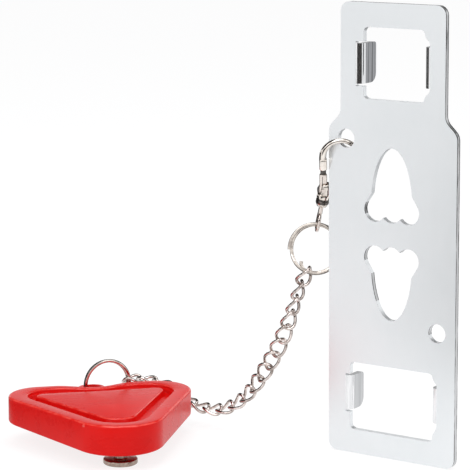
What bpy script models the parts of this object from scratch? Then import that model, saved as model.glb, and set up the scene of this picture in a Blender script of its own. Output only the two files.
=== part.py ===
"""Portable door lock: a steel strike plate, a swivel snap, a twisted chain and a plastic wedge.

The frame has X to the right of the plate, Y to its back and Z up. Its origin is the middle
of the plate's back face, on the bridge between the two keyhole slots.
"""

import math

import bmesh
import bpy
from mathutils import Matrix, Vector

# Driving sizes of the plate, in metres
PLATE_HEIGHT = 0.157
PLATE_WIDTH = 0.050
PLATE_THICKNESS = 0.0020
NECK_STEP = 0.0047
SHOULDER_LOW = 0.0357
SHOULDER_HIGH = 0.0403
CORNER_RADIUS = 0.0033
SHOULDER_RADIUS = 0.0042

# Windows and their bent claws
UPPER_WINDOW_WIDTH = 0.0237
UPPER_WINDOW_LOW = 0.0459
UPPER_WINDOW_HIGH = 0.0702
UPPER_WINDOW_SHIFT = 0.0006
UPPER_NOTCH_REACH = 0.0144
UPPER_NOTCH_LOW = 0.0501
UPPER_NOTCH_HIGH = 0.0652
UPPER_CLAW_DEPTH = 0.0093
LOWER_WINDOW_WIDTH = 0.0328
LOWER_WINDOW_LOW = -0.0700
LOWER_WINDOW_HIGH = -0.0461
LOWER_WINDOW_SHIFT = 0.0001
LOWER_NOTCH_REACH = 0.0181
LOWER_NOTCH_LOW = -0.0640
LOWER_NOTCH_HIGH = -0.0504
LOWER_CLAW_DEPTH = 0.0080
WINDOW_RADIUS = 0.0015
CLAW_RELIEF = 0.0007
CLAW_BEND = 0.0005
CLAW_TOP_RADIUS = 0.0010
CLAW_LOW_RADIUS = 0.0032

# Keyhole slots, each with three lobes, a waist and a rounded head
LOBE_RADIUS = 0.00415
LOBE_PITCH = 0.00655
LOBE_HEIGHT = 0.0083
HEAD_TIP = 0.0297
HEAD_HALF_WIDTH = 0.0080
HEAD_LENGTH = 0.0195
WAIST_HEIGHT = 0.0139

# Round holes for the snap
HOLE_RADIUS = 0.00325
HOLE_TO_EDGE = 0.0070
HOLE_HEIGHT = 0.0319

# Snap body: its own frame stands on the top of its collar
SNAP_TURN = math.radians(34.5)
SNAP_LEAN = math.radians(20.4)
SNAP_SLANT = math.radians(9.3)
SNAP_HOLE_DROP = 0.0006
SNAP_HOOK_SIDE = 0.0030
SNAP_HOOK_HEIGHT = 0.0161
SNAP_HOOK_RADIUS = 0.00604
SNAP_HOOK_TURN = math.radians(78.0)
SNAP_WIRE_RADIUS = 0.0012
SNAP_HOOK_WIRE = 0.00085
SNAP_NOSE_LENGTH = 0.0067
SNAP_NOSE_LEAN = 0.0016
SNAP_NOSE_WIRE = 0.0012
COLLAR_RADIUS = 0.0023
COLLAR_HEIGHT = 0.0050
COLLAR_FOOT_RADIUS = 0.0016
COLLAR_GROOVE_DEPTH = 0.0003
COLLAR_GROOVE_HEIGHT = 0.0008
JAW_THICKNESS = 0.0036
JAW_HEIGHT = 0.0040
JAW_WIDTH = 0.0036
JAW_SIDE = 0.0004
JAW_ROOT = 0.0012
JAW_SLOT = 0.0021
JAW_SLOT_END = 0.0017
JAW_FLOOR = 0.0002
SPINE_FOOT_SIDE = 0.0020
GATE_THICKNESS = 0.0015
GATE_WIDTH = 0.0016
GATE_PIVOT_SIDE = -0.0006
GATE_PIVOT_HEIGHT = 0.0019
GATE_NOSE_GAP = 0.0003
LEVER_LENGTH = 0.0008
LEVER_WIDTH = 0.0014
RIVET_RADIUS = 0.0005
RIVET_HOLE_RADIUS = 0.0008
RIVET_HEAD_RADIUS = 0.0011
RIVET_HEAD_HEIGHT = 0.0003
SPRING_RADIUS = 0.0006
SPRING_WIRE = 0.0001
SPRING_PITCH = 0.00062
SPRING_TURNS = 1.5

# Swivel eye under the snap
EYE_DROP = 0.0148
EYE_WIRE_RADIUS = 0.0006
EYE_WIDTH = 0.0056
EYE_LENGTH = 0.0078
STEM_RADIUS = 0.0008
STEM_BORE_RADIUS = 0.0011
STEM_BORE_DEPTH = 0.0028
STEM_GAP = 0.0003

# Split rings, wound from flat wire
RING_RADIUS = 0.0085
RING_WIRE_RADIUS = 0.0006
RING_WIRE_FLATNESS = 0.6
RING_TURN_GAP = 0.00045
RING_TILT = math.radians(10.6)
RING_SWAY = math.radians(5.0)
RING_CHAIN_ANGLE = math.radians(250.0)
RING_SPLIT_ANGLE = math.radians(201.0)
EYE_TO_RING = 0.0021
RING_START_SHARE = 0.055
RING_CLIMB_SHARE = 0.06
RING_TUCK_SHARE = 0.07
RING_TUCK_DEPTH = 0.0018
POINTS_PER_TURN = 24

# Chain of twisted oval links
LINK_COUNT = 19
LINK_WIDTH = 0.0063
LINK_WIRE_RADIUS = 0.00057
LINK_GAP = 0.0003
LINK_TWIST = math.radians(45.0)
LINK_POINTS = 22
LINK_SQUARENESS = 2.4
RING_LINK_GAP = 0.0013
UPPER_LINK_SHIFT = 0.0005
UPPER_LINK_GAP = 0.0005

# Wedge: a rounded triangle, told from the stud's axis, which leans a little to one side
WEDGE_X = -0.0749
WEDGE_Y = -0.0569
WEDGE_TURN = math.radians(48.9)
WEDGE_LEAN = math.radians(0.9)
WEDGE_THICKNESS = 0.0103
WEDGE_UNDER_RISE = math.radians(1.6)
WEDGE_EDGE_RADIUS = 0.0009
FRONT_MIDDLE = 0.0038
FRONT_RADIUS = 0.0162
SIDE_MIDDLE_X = 0.0206
SIDE_MIDDLE_Y = 0.0358
SIDE_RADIUS = 0.0124
BACK_DIP_DEPTH = 0.0047
BACK_DIP_HALF_WIDTH = 0.0150

# Groove and raised middle on the wedge's top
GROOVE_FRONT_MIDDLE = 0.0038
GROOVE_FRONT_RADIUS = 0.0109
GROOVE_SIDE_MIDDLE_X = 0.0173
GROOVE_SIDE_MIDDLE_Y = 0.0345
GROOVE_SIDE_RADIUS = 0.0091
GROOVE_DIP_DEPTH = 0.0034
GROOVE_DEPTH = 0.0026
MIDDLE_FRONT_MIDDLE = 0.0058
MIDDLE_FRONT_RADIUS = 0.0068
MIDDLE_SIDE_MIDDLE_X = 0.0203
MIDDLE_SIDE_MIDDLE_Y = 0.0359
MIDDLE_SIDE_RADIUS = 0.0027
MIDDLE_DIP_DEPTH = 0.0004
MIDDLE_DROP = 0.0003

# Lug behind the wedge, for the lower ring
LUG_HALF_WIDTH = 0.0049
LUG_THICKNESS = 0.0042
LUG_DROP = 0.0013
LUG_SIDE = -0.0008
LUG_END_RADIUS = 0.0040
LUG_HOLE_RADIUS = 0.0032
LUG_HOLE_BACK = 0.0478
LUG_WALL = 0.0014
LUG_RING_HEADING = math.radians(12.0)
LUG_RING_DROP = 0.0009
LUG_RING_LINK_ANGLE = math.radians(3.0)

# Locking stud under the wedge
STUD_HEAD_RADIUS = 0.0060
STUD_HEAD_HEIGHT = 0.0020
STUD_HEAD_CHAMFER = 0.0003
STUD_NECK_RADIUS = 0.0024
STUD_NECK_LENGTH = 0.0041
STUD_SHANK_LENGTH = 0.0058
STUD_CLEARANCE = 0.0001
STUD_SEAT_GAP = 0.0003

# Where the chain passes between the rings: along, sideways and down, as shares of its span
CHAIN_ROUTE_SHARES = [
    (0.000, 0.000, 0.000),
    (0.034, 0.006, 0.094),
    (0.095, 0.016, 0.345),
    (0.160, 0.027, 0.594),
    (0.259, 0.044, 0.842),
    (0.369, 0.063, 1.059),
    (0.501, 0.085, 1.182),
    (0.630, 0.108, 1.197),
    (0.700, 0.122, 1.165),
    (0.793, 0.141, 1.087),
    (0.870, 0.120, 1.040),
    (0.944, 0.076, 1.008),
    (1.000, 0.000, 1.000),
]
LINK_ROLLS = [-40, -56, -52, -34, -14, 0, 12, 28, 44, 58, 66, 72, 76, 80, 82, 84, 88, 90, 90]

# One overrun serves every cut that goes right through
OVERRUN = 0.0010
BOX_BEVEL = 0.0004

STEEL = (0.80, 0.82, 0.83, 1.0)
NICKEL = (0.72, 0.69, 0.66, 1.0)
DARK_NICKEL = (0.33, 0.28, 0.26, 1.0)
RED_PLASTIC = (0.72, 0.010, 0.008, 1.0)

UP = Vector((0, 0, 1))


def clear_scene():
    for old in list(bpy.data.objects):
        bpy.data.objects.remove(old, do_unlink=True)


def new_collection(name):
    made = bpy.data.collections.new(name)
    bpy.context.scene.collection.children.link(made)
    return made


def material(name, colour, metallic, roughness):
    made = bpy.data.materials.new(name)
    made.use_nodes = True
    shader = made.node_tree.nodes["Principled BSDF"]
    shader.inputs["Base Color"].default_value = colour
    shader.inputs["Metallic"].default_value = metallic
    shader.inputs["Roughness"].default_value = roughness
    made.diffuse_color = colour
    return made


def arc(centre, radius, start, end, steps):
    """Points of a plane arc, both ends included."""
    points = []
    for i in range(steps + 1):
        angle = start + (end - start) * i / steps
        points.append((centre[0] + radius * math.cos(angle), centre[1] + radius * math.sin(angle)))
    return points


def circle(centre, radius, steps):
    return arc(centre, radius, 0, 2 * math.pi, steps)[:-1]


def rounded(corners, radii, steps):
    """A closed outline through plane corners, each rounded with its own radius."""
    points = []
    count = len(corners)
    for i in range(count):
        here = Vector(corners[i])
        back = (Vector(corners[i - 1]) - here).normalized()
        ahead = (Vector(corners[(i + 1) % count]) - here).normalized()
        half = back.angle(ahead) / 2
        radius = radii[i]
        centre = here + (back + ahead).normalized() * radius / math.sin(half)
        first = here + back * radius / math.tan(half) - centre
        turn = first.angle_signed(here + ahead * radius / math.tan(half) - centre)
        for k in range(steps + 1):
            spoke = first.copy()
            spoke.rotate(Matrix.Rotation(-turn * k / steps, 2))
            points.append(tuple(centre + spoke))
    return points


def slab_curve(name, loops, thickness, collection):
    """A flat outline with holes, extruded to both sides of its own plane."""
    data = bpy.data.curves.new(name, "CURVE")
    data.dimensions = "2D"
    data.fill_mode = "BOTH"
    data.extrude = thickness / 2
    for loop in loops:
        spline = data.splines.new("POLY")
        spline.points.add(len(loop) - 1)
        for point, (x, y) in zip(spline.points, loop):
            point.co = (x, y, 0, 1)
        spline.use_cyclic_u = True
    made = bpy.data.objects.new(name, data)
    collection.objects.link(made)
    return made


def tube_curve(name, points, radius, cyclic, collection, radii=None):
    """A wire along a list of points."""
    data = bpy.data.curves.new(name, "CURVE")
    data.dimensions = "3D"
    data.bevel_depth = radius
    data.bevel_resolution = 2
    data.use_fill_caps = True
    spline = data.splines.new("POLY")
    spline.points.add(len(points) - 1)
    for i, place in enumerate(points):
        spline.points[i].co = (place[0], place[1], place[2], 1)
        if radii:
            spline.points[i].radius = radii[i] / radius
    spline.use_cyclic_u = cyclic
    made = bpy.data.objects.new(name, data)
    collection.objects.link(made)
    return made


def as_mesh(curve_object, weld=0.00001):
    """The same shape as a mesh object, its caps welded, so that it can be cut and joined."""
    bpy.context.view_layer.update()
    graph = bpy.context.evaluated_depsgraph_get()
    data = bpy.data.meshes.new_from_object(curve_object.evaluated_get(graph))
    shape = bmesh.new()
    shape.from_mesh(data)
    bmesh.ops.remove_doubles(shape, verts=shape.verts, dist=weld)
    bmesh.ops.recalc_face_normals(shape, faces=shape.faces)
    shape.to_mesh(data)
    shape.free()
    name = curve_object.name
    home = curve_object.users_collection[0]
    place = curve_object.matrix_world.copy()
    bpy.data.objects.remove(curve_object, do_unlink=True)
    made = bpy.data.objects.new(name, data)
    home.objects.link(made)
    made.matrix_world = place
    return made


def slab(name, loops, thickness, collection, place=None):
    made = slab_curve(name, loops, thickness, collection)
    if place:
        made.matrix_world = place
    return as_mesh(made)


def cylinder(name, radius, height, steps, collection, place):
    """A round bar about its own Z, centred on its place."""
    data = bpy.data.meshes.new(name)
    shape = bmesh.new()
    bmesh.ops.create_cone(shape, cap_ends=True, segments=steps, radius1=radius, radius2=radius, depth=height)
    shape.to_mesh(data)
    shape.free()
    made = bpy.data.objects.new(name, data)
    collection.objects.link(made)
    made.matrix_world = place
    return made


def block(name, size, collection, place):
    data = bpy.data.meshes.new(name)
    shape = bmesh.new()
    bmesh.ops.create_cube(shape, size=1)
    bmesh.ops.scale(shape, vec=size, verts=shape.verts)
    shape.to_mesh(data)
    shape.free()
    made = bpy.data.objects.new(name, data)
    collection.objects.link(made)
    made.matrix_world = place
    return made


def turned(name, profile, steps, collection, place):
    """A turned shape: an outer profile, from top to bottom, swept about Z."""
    data = bpy.data.meshes.new(name)
    edges = [(i, i + 1) for i in range(len(profile) - 1)]
    data.from_pydata([(r, 0, z) for r, z in profile], edges, [])
    made = bpy.data.objects.new(name, data)
    collection.objects.link(made)
    made.matrix_world = place
    screw = made.modifiers.new("turn", "SCREW")
    screw.steps = steps
    screw.render_steps = steps
    screw.use_merge_vertices = True
    screw.merge_threshold = 0.00001
    screw.use_normal_calculate = False
    return made


def boolean(target, cutter, operation):
    cutter.hide_render = True
    cutter.display_type = "WIRE"
    change = target.modifiers.new(cutter.name, "BOOLEAN")
    change.object = cutter
    change.operation = operation
    change.solver = "EXACT"


def finish(piece, look, smooth=True):
    """Give a piece its material and its shading."""
    piece.data.materials.clear()
    piece.data.materials.append(look)
    if smooth and piece.type == "MESH":
        piece.data.shade_smooth()
        piece.data.set_sharp_from_angle(angle=math.radians(40))


def joint(name, place, parent, pieces):
    """An empty on a joint's axis, which carries its pieces; they stay where they are."""
    made = bpy.data.objects.new(name, None)
    made.empty_display_size = LINK_WIDTH
    LOCK.objects.link(made)
    if parent:
        made.parent = parent
        made.matrix_parent_inverse = parent.matrix_world.inverted()
    made.matrix_world = place
    bpy.context.view_layer.update()
    for piece in pieces:
        piece.parent = made
        piece.matrix_parent_inverse = made.matrix_world.inverted()
    return made


def axes(place, along, across):
    """A frame with its Z along one direction and its X as near another as it can be."""
    z = along.normalized()
    x = (across - across.dot(z) * z).normalized()
    y = z.cross(x)
    frame = Matrix((x, y, z)).transposed().to_4x4()
    frame.translation = place
    return frame


def hole_side():
    """How far the snap's round holes stand from the plate's middle line."""
    return PLATE_WIDTH / 2 - HOLE_TO_EDGE


def plate_outline():
    half = PLATE_WIDTH / 2
    neck = half - NECK_STEP
    top = PLATE_HEIGHT / 2
    corners = [
        (-half, -top),
        (half, -top),
        (half, SHOULDER_LOW),
        (neck, SHOULDER_HIGH),
        (neck, top),
        (-neck, top),
        (-neck, SHOULDER_HIGH),
        (-half, SHOULDER_LOW),
    ]
    radii = [CORNER_RADIUS] * 2 + [SHOULDER_RADIUS] * 2 + [CORNER_RADIUS] * 2 + [SHOULDER_RADIUS] * 2
    return rounded(corners, radii, 5)


def window_outline(width, shift, low, high, reach, notch_low, notch_high):
    left = shift - width / 2
    right = shift + width / 2
    corners = [
        (left, low),
        (right, low),
        (right, notch_low),
        (reach, notch_low),
        (reach, notch_high),
        (right, notch_high),
        (right, high),
        (left, high),
        (left, notch_high),
        (-reach, notch_high),
        (-reach, notch_low),
        (left, notch_low),
    ]
    soft = WINDOW_RADIUS
    fine = CLAW_RELIEF / 3
    radii = [soft, soft, fine, fine, fine, fine, soft, soft, fine, fine, fine, fine]
    return rounded(corners, radii, 2)


def keyhole_outline(up):
    """Three lobes, a waist and a round-headed slot; up is 1 or -1."""
    lobe = (LOBE_PITCH, LOBE_HEIGHT)
    head = HEAD_TIP - HEAD_LENGTH
    right = []
    last = math.asin((WAIST_HEIGHT - head) / HEAD_LENGTH)
    for i in range(11):
        angle = math.pi / 2 + (last - math.pi / 2) * i / 10
        right.append((HEAD_HALF_WIDTH * math.cos(angle), head + HEAD_LENGTH * math.sin(angle)))
    waist = right[-1]
    reach = math.hypot(waist[0] - lobe[0], waist[1] - lobe[1])
    bearing = math.atan2(waist[1] - lobe[1], waist[0] - lobe[0])
    touch = bearing - math.acos(LOBE_RADIUS / reach)
    cusp = math.acos(LOBE_PITCH / 2 / LOBE_RADIUS)
    right += arc(lobe, LOBE_RADIUS, touch, -math.pi + cusp, 12)
    right += arc((0, LOBE_HEIGHT), LOBE_RADIUS, -cusp, -math.pi / 2, 3)[1:]
    left = [(-x, y) for x, y in reversed(right[1:-1])]
    return [(x, up * y) for x, y in right + left]


def claw(name, side, reach, low, high, depth):
    """One bent claw: side is -1 at a window's left edge, 1 at its right one."""
    root = -reach
    inner = CLAW_BEND
    outer = CLAW_BEND + PLATE_THICKNESS
    bend = (root, inner)
    profile = [(root - OVERRUN, -PLATE_THICKNESS)]
    profile += arc(bend, outer, -math.pi / 2, 0, 6)
    profile += [(root + outer, depth - PLATE_THICKNESS), (root + inner, depth - PLATE_THICKNESS)]
    profile += arc(bend, inner, 0, -math.pi / 2, 3)
    profile += [(root - OVERRUN, 0)]
    profile = [(-side * x, y) for x, y in profile]
    height = high - low - 2 * CLAW_RELIEF
    middle = (high + low) / 2
    strip = slab(name, [profile], height, CUTTERS, Matrix.Translation((0, 0, middle)))
    far = depth - PLATE_THICKNESS
    corners = [
        (-PLATE_THICKNESS - OVERRUN, middle - height / 2),
        (far, middle - height / 2),
        (far, middle + height / 2),
        (-PLATE_THICKNESS - OVERRUN, middle + height / 2),
    ]
    radii = [CLAW_RELIEF / 3, CLAW_LOW_RADIUS, CLAW_TOP_RADIUS, CLAW_RELIEF / 3]
    turn = Matrix(((0, 0, 1, 0), (1, 0, 0, 0), (0, 1, 0, 0), (0, 0, 0, 1)))
    trim = slab(name + "_trim", [rounded(corners, radii, 5)], PLATE_WIDTH, CUTTERS, turn)
    boolean(strip, trim, "INTERSECT")
    return strip


def make_plate():
    upright = Matrix.Translation((0, -PLATE_THICKNESS / 2, 0)) @ Matrix.Rotation(math.pi / 2, 4, "X")
    loops = [
        plate_outline(),
        window_outline(
            UPPER_WINDOW_WIDTH,
            UPPER_WINDOW_SHIFT,
            UPPER_WINDOW_LOW,
            UPPER_WINDOW_HIGH,
            UPPER_NOTCH_REACH,
            UPPER_NOTCH_LOW,
            UPPER_NOTCH_HIGH,
        ),
        window_outline(
            LOWER_WINDOW_WIDTH,
            LOWER_WINDOW_SHIFT,
            LOWER_WINDOW_LOW,
            LOWER_WINDOW_HIGH,
            LOWER_NOTCH_REACH,
            LOWER_NOTCH_LOW,
            LOWER_NOTCH_HIGH,
        ),
        keyhole_outline(1),
        keyhole_outline(-1),
        circle((-hole_side(), HOLE_HEIGHT), HOLE_RADIUS, 24),
        circle((hole_side(), -HOLE_HEIGHT), HOLE_RADIUS, 24),
    ]
    plate = slab("strike_plate", loops, PLATE_THICKNESS, LOCK, upright)
    claws = (
        ("upper", UPPER_NOTCH_REACH, UPPER_NOTCH_LOW, UPPER_NOTCH_HIGH, UPPER_CLAW_DEPTH),
        ("lower", LOWER_NOTCH_REACH, LOWER_NOTCH_LOW, LOWER_NOTCH_HIGH, LOWER_CLAW_DEPTH),
    )
    for name, reach, low, high, depth in claws:
        for side in (-1, 1):
            tongue = claw(f"{name}_claw_{side + 1}", side, reach, low, high, depth)
            boolean(plate, tongue, "UNION")
    finish(plate, STEEL_LOOK)
    return plate


def snap_frame():
    """The snap's own frame: Z up its middle line, X across to its spine, on its collar's top."""
    turn = Matrix.Rotation(SNAP_TURN, 4, "Z") @ Matrix.Rotation(SNAP_LEAN, 4, "X")
    turn = turn @ Matrix.Rotation(SNAP_SLANT, 4, "Y")
    hole = Vector((-hole_side(), -PLATE_THICKNESS / 2, HOLE_HEIGHT - SNAP_HOLE_DROP))
    angle = SNAP_HOOK_TURN
    in_hole = Vector((
        SNAP_HOOK_SIDE + SNAP_HOOK_RADIUS * math.cos(angle),
        0,
        SNAP_HOOK_HEIGHT + SNAP_HOOK_RADIUS * math.sin(angle),
    ))
    return Matrix.Translation(hole - turn @ in_hole) @ turn


def nose_end():
    """The middle of the nose's cut end, where the gate shuts."""
    side = SNAP_HOOK_SIDE - SNAP_HOOK_RADIUS + SNAP_NOSE_LEAN
    return Vector((side, SNAP_HOOK_HEIGHT - SNAP_NOSE_LENGTH))


def snap_wire():
    """The spine and hook as one wire, from the jaw up, over and down to the nose."""
    centre = (SNAP_HOOK_SIDE, SNAP_HOOK_HEIGHT)
    foot = (SPINE_FOOT_SIDE, JAW_HEIGHT / 2)
    hook = arc(centre, SNAP_HOOK_RADIUS, 0, math.pi, 14)
    spine = []
    side = hook[0]
    knee = (side[0], foot[1] + (side[1] - foot[1]) / 3)
    for i in range(7):
        t = i / 7
        x = (1 - t) ** 2 * foot[0] + 2 * t * (1 - t) * knee[0] + t * t * side[0]
        z = (1 - t) ** 2 * foot[1] + 2 * t * (1 - t) * knee[1] + t * t * side[1]
        spine.append((x, z))
    nose = nose_end()
    bend = (hook[-1][0], hook[-1][1] - SNAP_NOSE_LENGTH / 3)
    nose_run = []
    for i in range(1, 5):
        t = i / 4
        x = (1 - t) ** 2 * hook[-1][0] + 2 * t * (1 - t) * bend[0] + t * t * nose.x
        z = (1 - t) ** 2 * hook[-1][1] + 2 * t * (1 - t) * bend[1] + t * t * nose.y
        nose_run.append((x, z))
    points = [(x, 0, z) for x, z in spine + hook + nose_run]
    radii = [SNAP_WIRE_RADIUS] * len(spine)
    thin = SNAP_HOOK_WIRE / SNAP_WIRE_RADIUS
    for i in range(len(hook)):
        share = math.sin(math.pi * i / (len(hook) - 1))
        radii.append(SNAP_WIRE_RADIUS * (1 - (1 - thin) * share))
    for i in range(1, len(nose_run) + 1):
        radii.append(SNAP_WIRE_RADIUS + (SNAP_NOSE_WIRE - SNAP_WIRE_RADIUS) * i / len(nose_run))
    return points, radii


def make_snap(frame):
    points, radii = snap_wire()
    body = tube_curve("snap_body", points, SNAP_WIRE_RADIUS, False, LOCK, radii)
    body.matrix_world = frame
    body = as_mesh(body)
    jaw_place = frame @ Matrix.Translation((JAW_SIDE, 0, (JAW_HEIGHT - JAW_ROOT) / 2))
    jaw = block("jaw", (JAW_WIDTH, JAW_THICKNESS, JAW_HEIGHT + JAW_ROOT), CUTTERS, jaw_place)
    round_jaw = jaw.modifiers.new("round", "BEVEL")
    round_jaw.width = BOX_BEVEL * 2
    round_jaw.segments = 2
    boolean(body, jaw, "UNION")
    step = COLLAR_HEIGHT / 3
    collar_profile = [
        (0, 0),
        (COLLAR_RADIUS - BOX_BEVEL, 0),
        (COLLAR_RADIUS, -BOX_BEVEL),
        (COLLAR_RADIUS, -step),
        (COLLAR_RADIUS - COLLAR_GROOVE_DEPTH, -step),
        (COLLAR_RADIUS - COLLAR_GROOVE_DEPTH, -step - COLLAR_GROOVE_HEIGHT),
        (COLLAR_RADIUS, -step - COLLAR_GROOVE_HEIGHT),
        (COLLAR_RADIUS, -2 * step - BOX_BEVEL),
        (COLLAR_FOOT_RADIUS, -COLLAR_HEIGHT),
        (0, -COLLAR_HEIGHT),
    ]
    collar = turned("collar", collar_profile, 20, CUTTERS, frame)
    boolean(body, collar, "UNION")
    slot_height = JAW_HEIGHT + OVERRUN
    slot_width = JAW_SLOT_END + JAW_WIDTH / 2 + OVERRUN
    slot_middle = (JAW_SLOT_END - slot_width / 2, 0, JAW_FLOOR + slot_height / 2)
    slot_place = frame @ Matrix.Translation(slot_middle)
    slot = block("gate_slot", (slot_width, JAW_SLOT, slot_height), CUTTERS, slot_place)
    boolean(body, slot, "DIFFERENCE")
    pivot = frame @ Matrix.Translation((GATE_PIVOT_SIDE, 0, GATE_PIVOT_HEIGHT))
    pivot = pivot @ Matrix.Rotation(math.pi / 2, 4, "X")
    bore = cylinder("rivet_bore", RIVET_HOLE_RADIUS, JAW_THICKNESS + 2 * OVERRUN, 16, CUTTERS, pivot)
    boolean(body, bore, "DIFFERENCE")
    stem_depth = STEM_BORE_DEPTH
    stem_bore_place = frame @ Matrix.Translation((0, 0, -COLLAR_HEIGHT + stem_depth / 2 - OVERRUN / 2))
    stem_bore = cylinder("stem_bore", STEM_BORE_RADIUS, stem_depth + OVERRUN, 16, CUTTERS, stem_bore_place)
    boolean(body, stem_bore, "DIFFERENCE")
    head_room_place = frame @ Matrix.Translation((0, 0, stem_head_height()))
    head_room = cylinder("stem_head_room", stem_head_radius() + STEM_GAP, stem_head_room(), 16, CUTTERS, head_room_place)
    boolean(body, head_room, "DIFFERENCE")
    finish(body, NICKEL_LOOK)
    return body, pivot


def stem_head_radius():
    return STEM_RADIUS + COLLAR_GROOVE_DEPTH + STEM_GAP


def stem_head_height():
    return -COLLAR_HEIGHT + STEM_BORE_DEPTH


def stem_head_room():
    return 2 * STEM_RADIUS + 2 * STEM_GAP


def make_gate(frame, pivot):
    """The sprung gate: a flat bar from its rivet to the nose, with a thumb lever at its foot."""
    nose = nose_end()
    base = Vector((GATE_PIVOT_SIDE, GATE_PIVOT_HEIGHT))
    along = (nose - base).normalized()
    across = Vector((along.y, -along.x))
    half = GATE_WIDTH / 2
    top = nose - along * GATE_NOSE_GAP
    inner_foot = base + across * half
    lever_tip = base - across * (half + LEVER_LENGTH) - along * LEVER_WIDTH / 2
    corners = [
        base - along * half + across * half,
        top + across * half,
        top - across * half,
        base - across * half + along * half,
        lever_tip + along * LEVER_WIDTH / 2,
        lever_tip - along * LEVER_WIDTH / 2,
        base - across * half - along * LEVER_WIDTH,
    ]
    corners.reverse()
    radii = [BOX_BEVEL] * len(corners)
    outline = rounded([tuple(c) for c in corners], radii, 2)
    bore = circle(tuple(base), RIVET_HOLE_RADIUS, 16)
    flat = frame @ Matrix.Rotation(math.pi / 2, 4, "X")
    gate = slab("snap_gate", [outline, bore], GATE_THICKNESS, LOCK, flat)
    finish(gate, NICKEL_LOOK)
    length = JAW_THICKNESS + 2 * STEM_GAP
    head = RIVET_HEAD_HEIGHT
    profile = [
        (0, length / 2 + head),
        (RIVET_HEAD_RADIUS * 0.7, length / 2 + head),
        (RIVET_HEAD_RADIUS, length / 2),
        (RIVET_RADIUS, length / 2),
        (RIVET_RADIUS, -length / 2),
        (RIVET_HEAD_RADIUS, -length / 2),
        (RIVET_HEAD_RADIUS * 0.7, -length / 2 - head),
        (0, -length / 2 - head),
    ]
    rivet = turned("gate_rivet", profile, 14, LOCK, pivot)
    finish(rivet, NICKEL_LOOK)
    return gate, rivet, inner_foot


def make_spring(frame):
    """The small coil between the spine's foot and the gate, which shuts the gate."""
    points = []
    count = int(SPRING_TURNS * 10)
    for i in range(count + 1):
        angle = 2 * math.pi * i / 10
        x = JAW_SLOT_END - 2 * SPRING_WIRE - SPRING_PITCH * i / 10
        points.append((x, SPRING_RADIUS * math.cos(angle), SPRING_RADIUS * math.sin(angle)))
    lift = JAW_HEIGHT - SPRING_RADIUS
    spring = tube_curve("gate_spring", points, SPRING_WIRE, False, LOCK)
    spring.data.bevel_resolution = 1
    spring.matrix_world = frame @ Matrix.Translation((0, 0, lift))
    finish(spring, NICKEL_LOOK, smooth=False)
    least = least_gap(points, SPRING_WIRE, SPRING_WIRE, 5)
    print(f"gate_spring least gap to itself {1000 * least:.2f} mm")
    return spring


def make_eye(frame):
    """The swivel eye: an oval of wire on a stem that turns in the collar."""
    bend = EYE_WIDTH / 2 - EYE_WIRE_RADIUS
    high = EYE_LENGTH - EYE_WIRE_RADIUS * 2 - EYE_DROP - bend
    loop = arc((0, bend - EYE_DROP), bend, -math.pi, 0, 10) + arc((0, high), bend, 0, math.pi, 10)
    points = [(0, y, z) for y, z in loop]
    eye = tube_curve("swivel_eye", points, EYE_WIRE_RADIUS, True, LOCK)
    eye.matrix_world = frame
    eye = as_mesh(eye)
    top = stem_head_height() + STEM_RADIUS
    foot = high + bend
    profile = [
        (0, top),
        (stem_head_radius(), top),
        (stem_head_radius(), top - 2 * STEM_RADIUS),
        (STEM_RADIUS, top - 2 * STEM_RADIUS),
        (STEM_RADIUS, foot),
        (0, foot),
    ]
    stem = turned("eye_stem", profile, 14, CUTTERS, frame)
    boolean(eye, stem, "UNION")
    finish(eye, NICKEL_LOOK)
    return eye


def least_gap(points, half_wide, half_flat, apart):
    """The least clear distance of a wire to itself, for points that lie apart along it."""
    least = None
    for i, first in enumerate(points):
        for second in points[i + apart:]:
            gap = (Vector(first) - Vector(second)).length - 2 * half_flat
            if least is None or gap < least:
                least = gap
    return least


def ring_height(turn, pitch):
    """How far along its axis the coil lies after some turns: flat, one climb, flat."""
    share = (turn - 1 + RING_CLIMB_SHARE) / (2 * RING_CLIMB_SHARE)
    share = min(1, max(0, share))
    smooth = share * share * (3 - 2 * share)
    return (smooth - 0.5) * pitch


def make_ring(name, place):
    """A split ring: nearly two flat turns of one wire about its own Z, one end tucked inward."""
    flat_half = RING_WIRE_RADIUS * RING_WIRE_FLATNESS
    pitch = 2 * flat_half + RING_TURN_GAP
    first = RING_START_SHARE
    last = 2 - RING_START_SHARE
    count = int(POINTS_PER_TURN * (last - first))
    points = []
    for i in range(count + 1):
        turn = first + (last - first) * i / count
        angle = 2 * math.pi * turn + RING_SPLIT_ANGLE
        height = ring_height(turn, pitch) / RING_WIRE_FLATNESS
        tuck = max(0, 1 - (turn - first) / RING_TUCK_SHARE)
        radius = RING_RADIUS - RING_TUCK_DEPTH * tuck * tuck
        points.append((radius * math.cos(angle), radius * math.sin(angle), height))
    ring = tube_curve(name, points, RING_WIRE_RADIUS, False, LOCK)
    ring.scale = (1, 1, RING_WIRE_FLATNESS)
    ring.matrix_world = place @ Matrix.Diagonal((1, 1, RING_WIRE_FLATNESS, 1))
    finish(ring, NICKEL_LOOK, smooth=False)
    real = [(x, y, z * RING_WIRE_FLATNESS) for x, y, z in points]
    least = least_gap(real, RING_WIRE_RADIUS, flat_half, POINTS_PER_TURN // 2)
    print(f"{name} least gap to itself {1000 * least:.2f} mm")
    return ring


def smooth_route(places, steps):
    """Points of a Catmull-Rom curve through the places."""
    padded = [2 * places[0] - places[1]] + places + [2 * places[-1] - places[-2]]
    points = []
    for i in range(1, len(padded) - 2):
        before, here, there, after = padded[i - 1:i + 3]
        for k in range(steps):
            t = k / steps
            point = 2 * here + (there - before) * t
            point = point + (2 * before - 5 * here + 4 * there - after) * t * t
            point = point + (3 * here - before - 3 * there + after) * t ** 3
            points.append(point / 2)
    points.append(places[-1])
    return points


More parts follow.
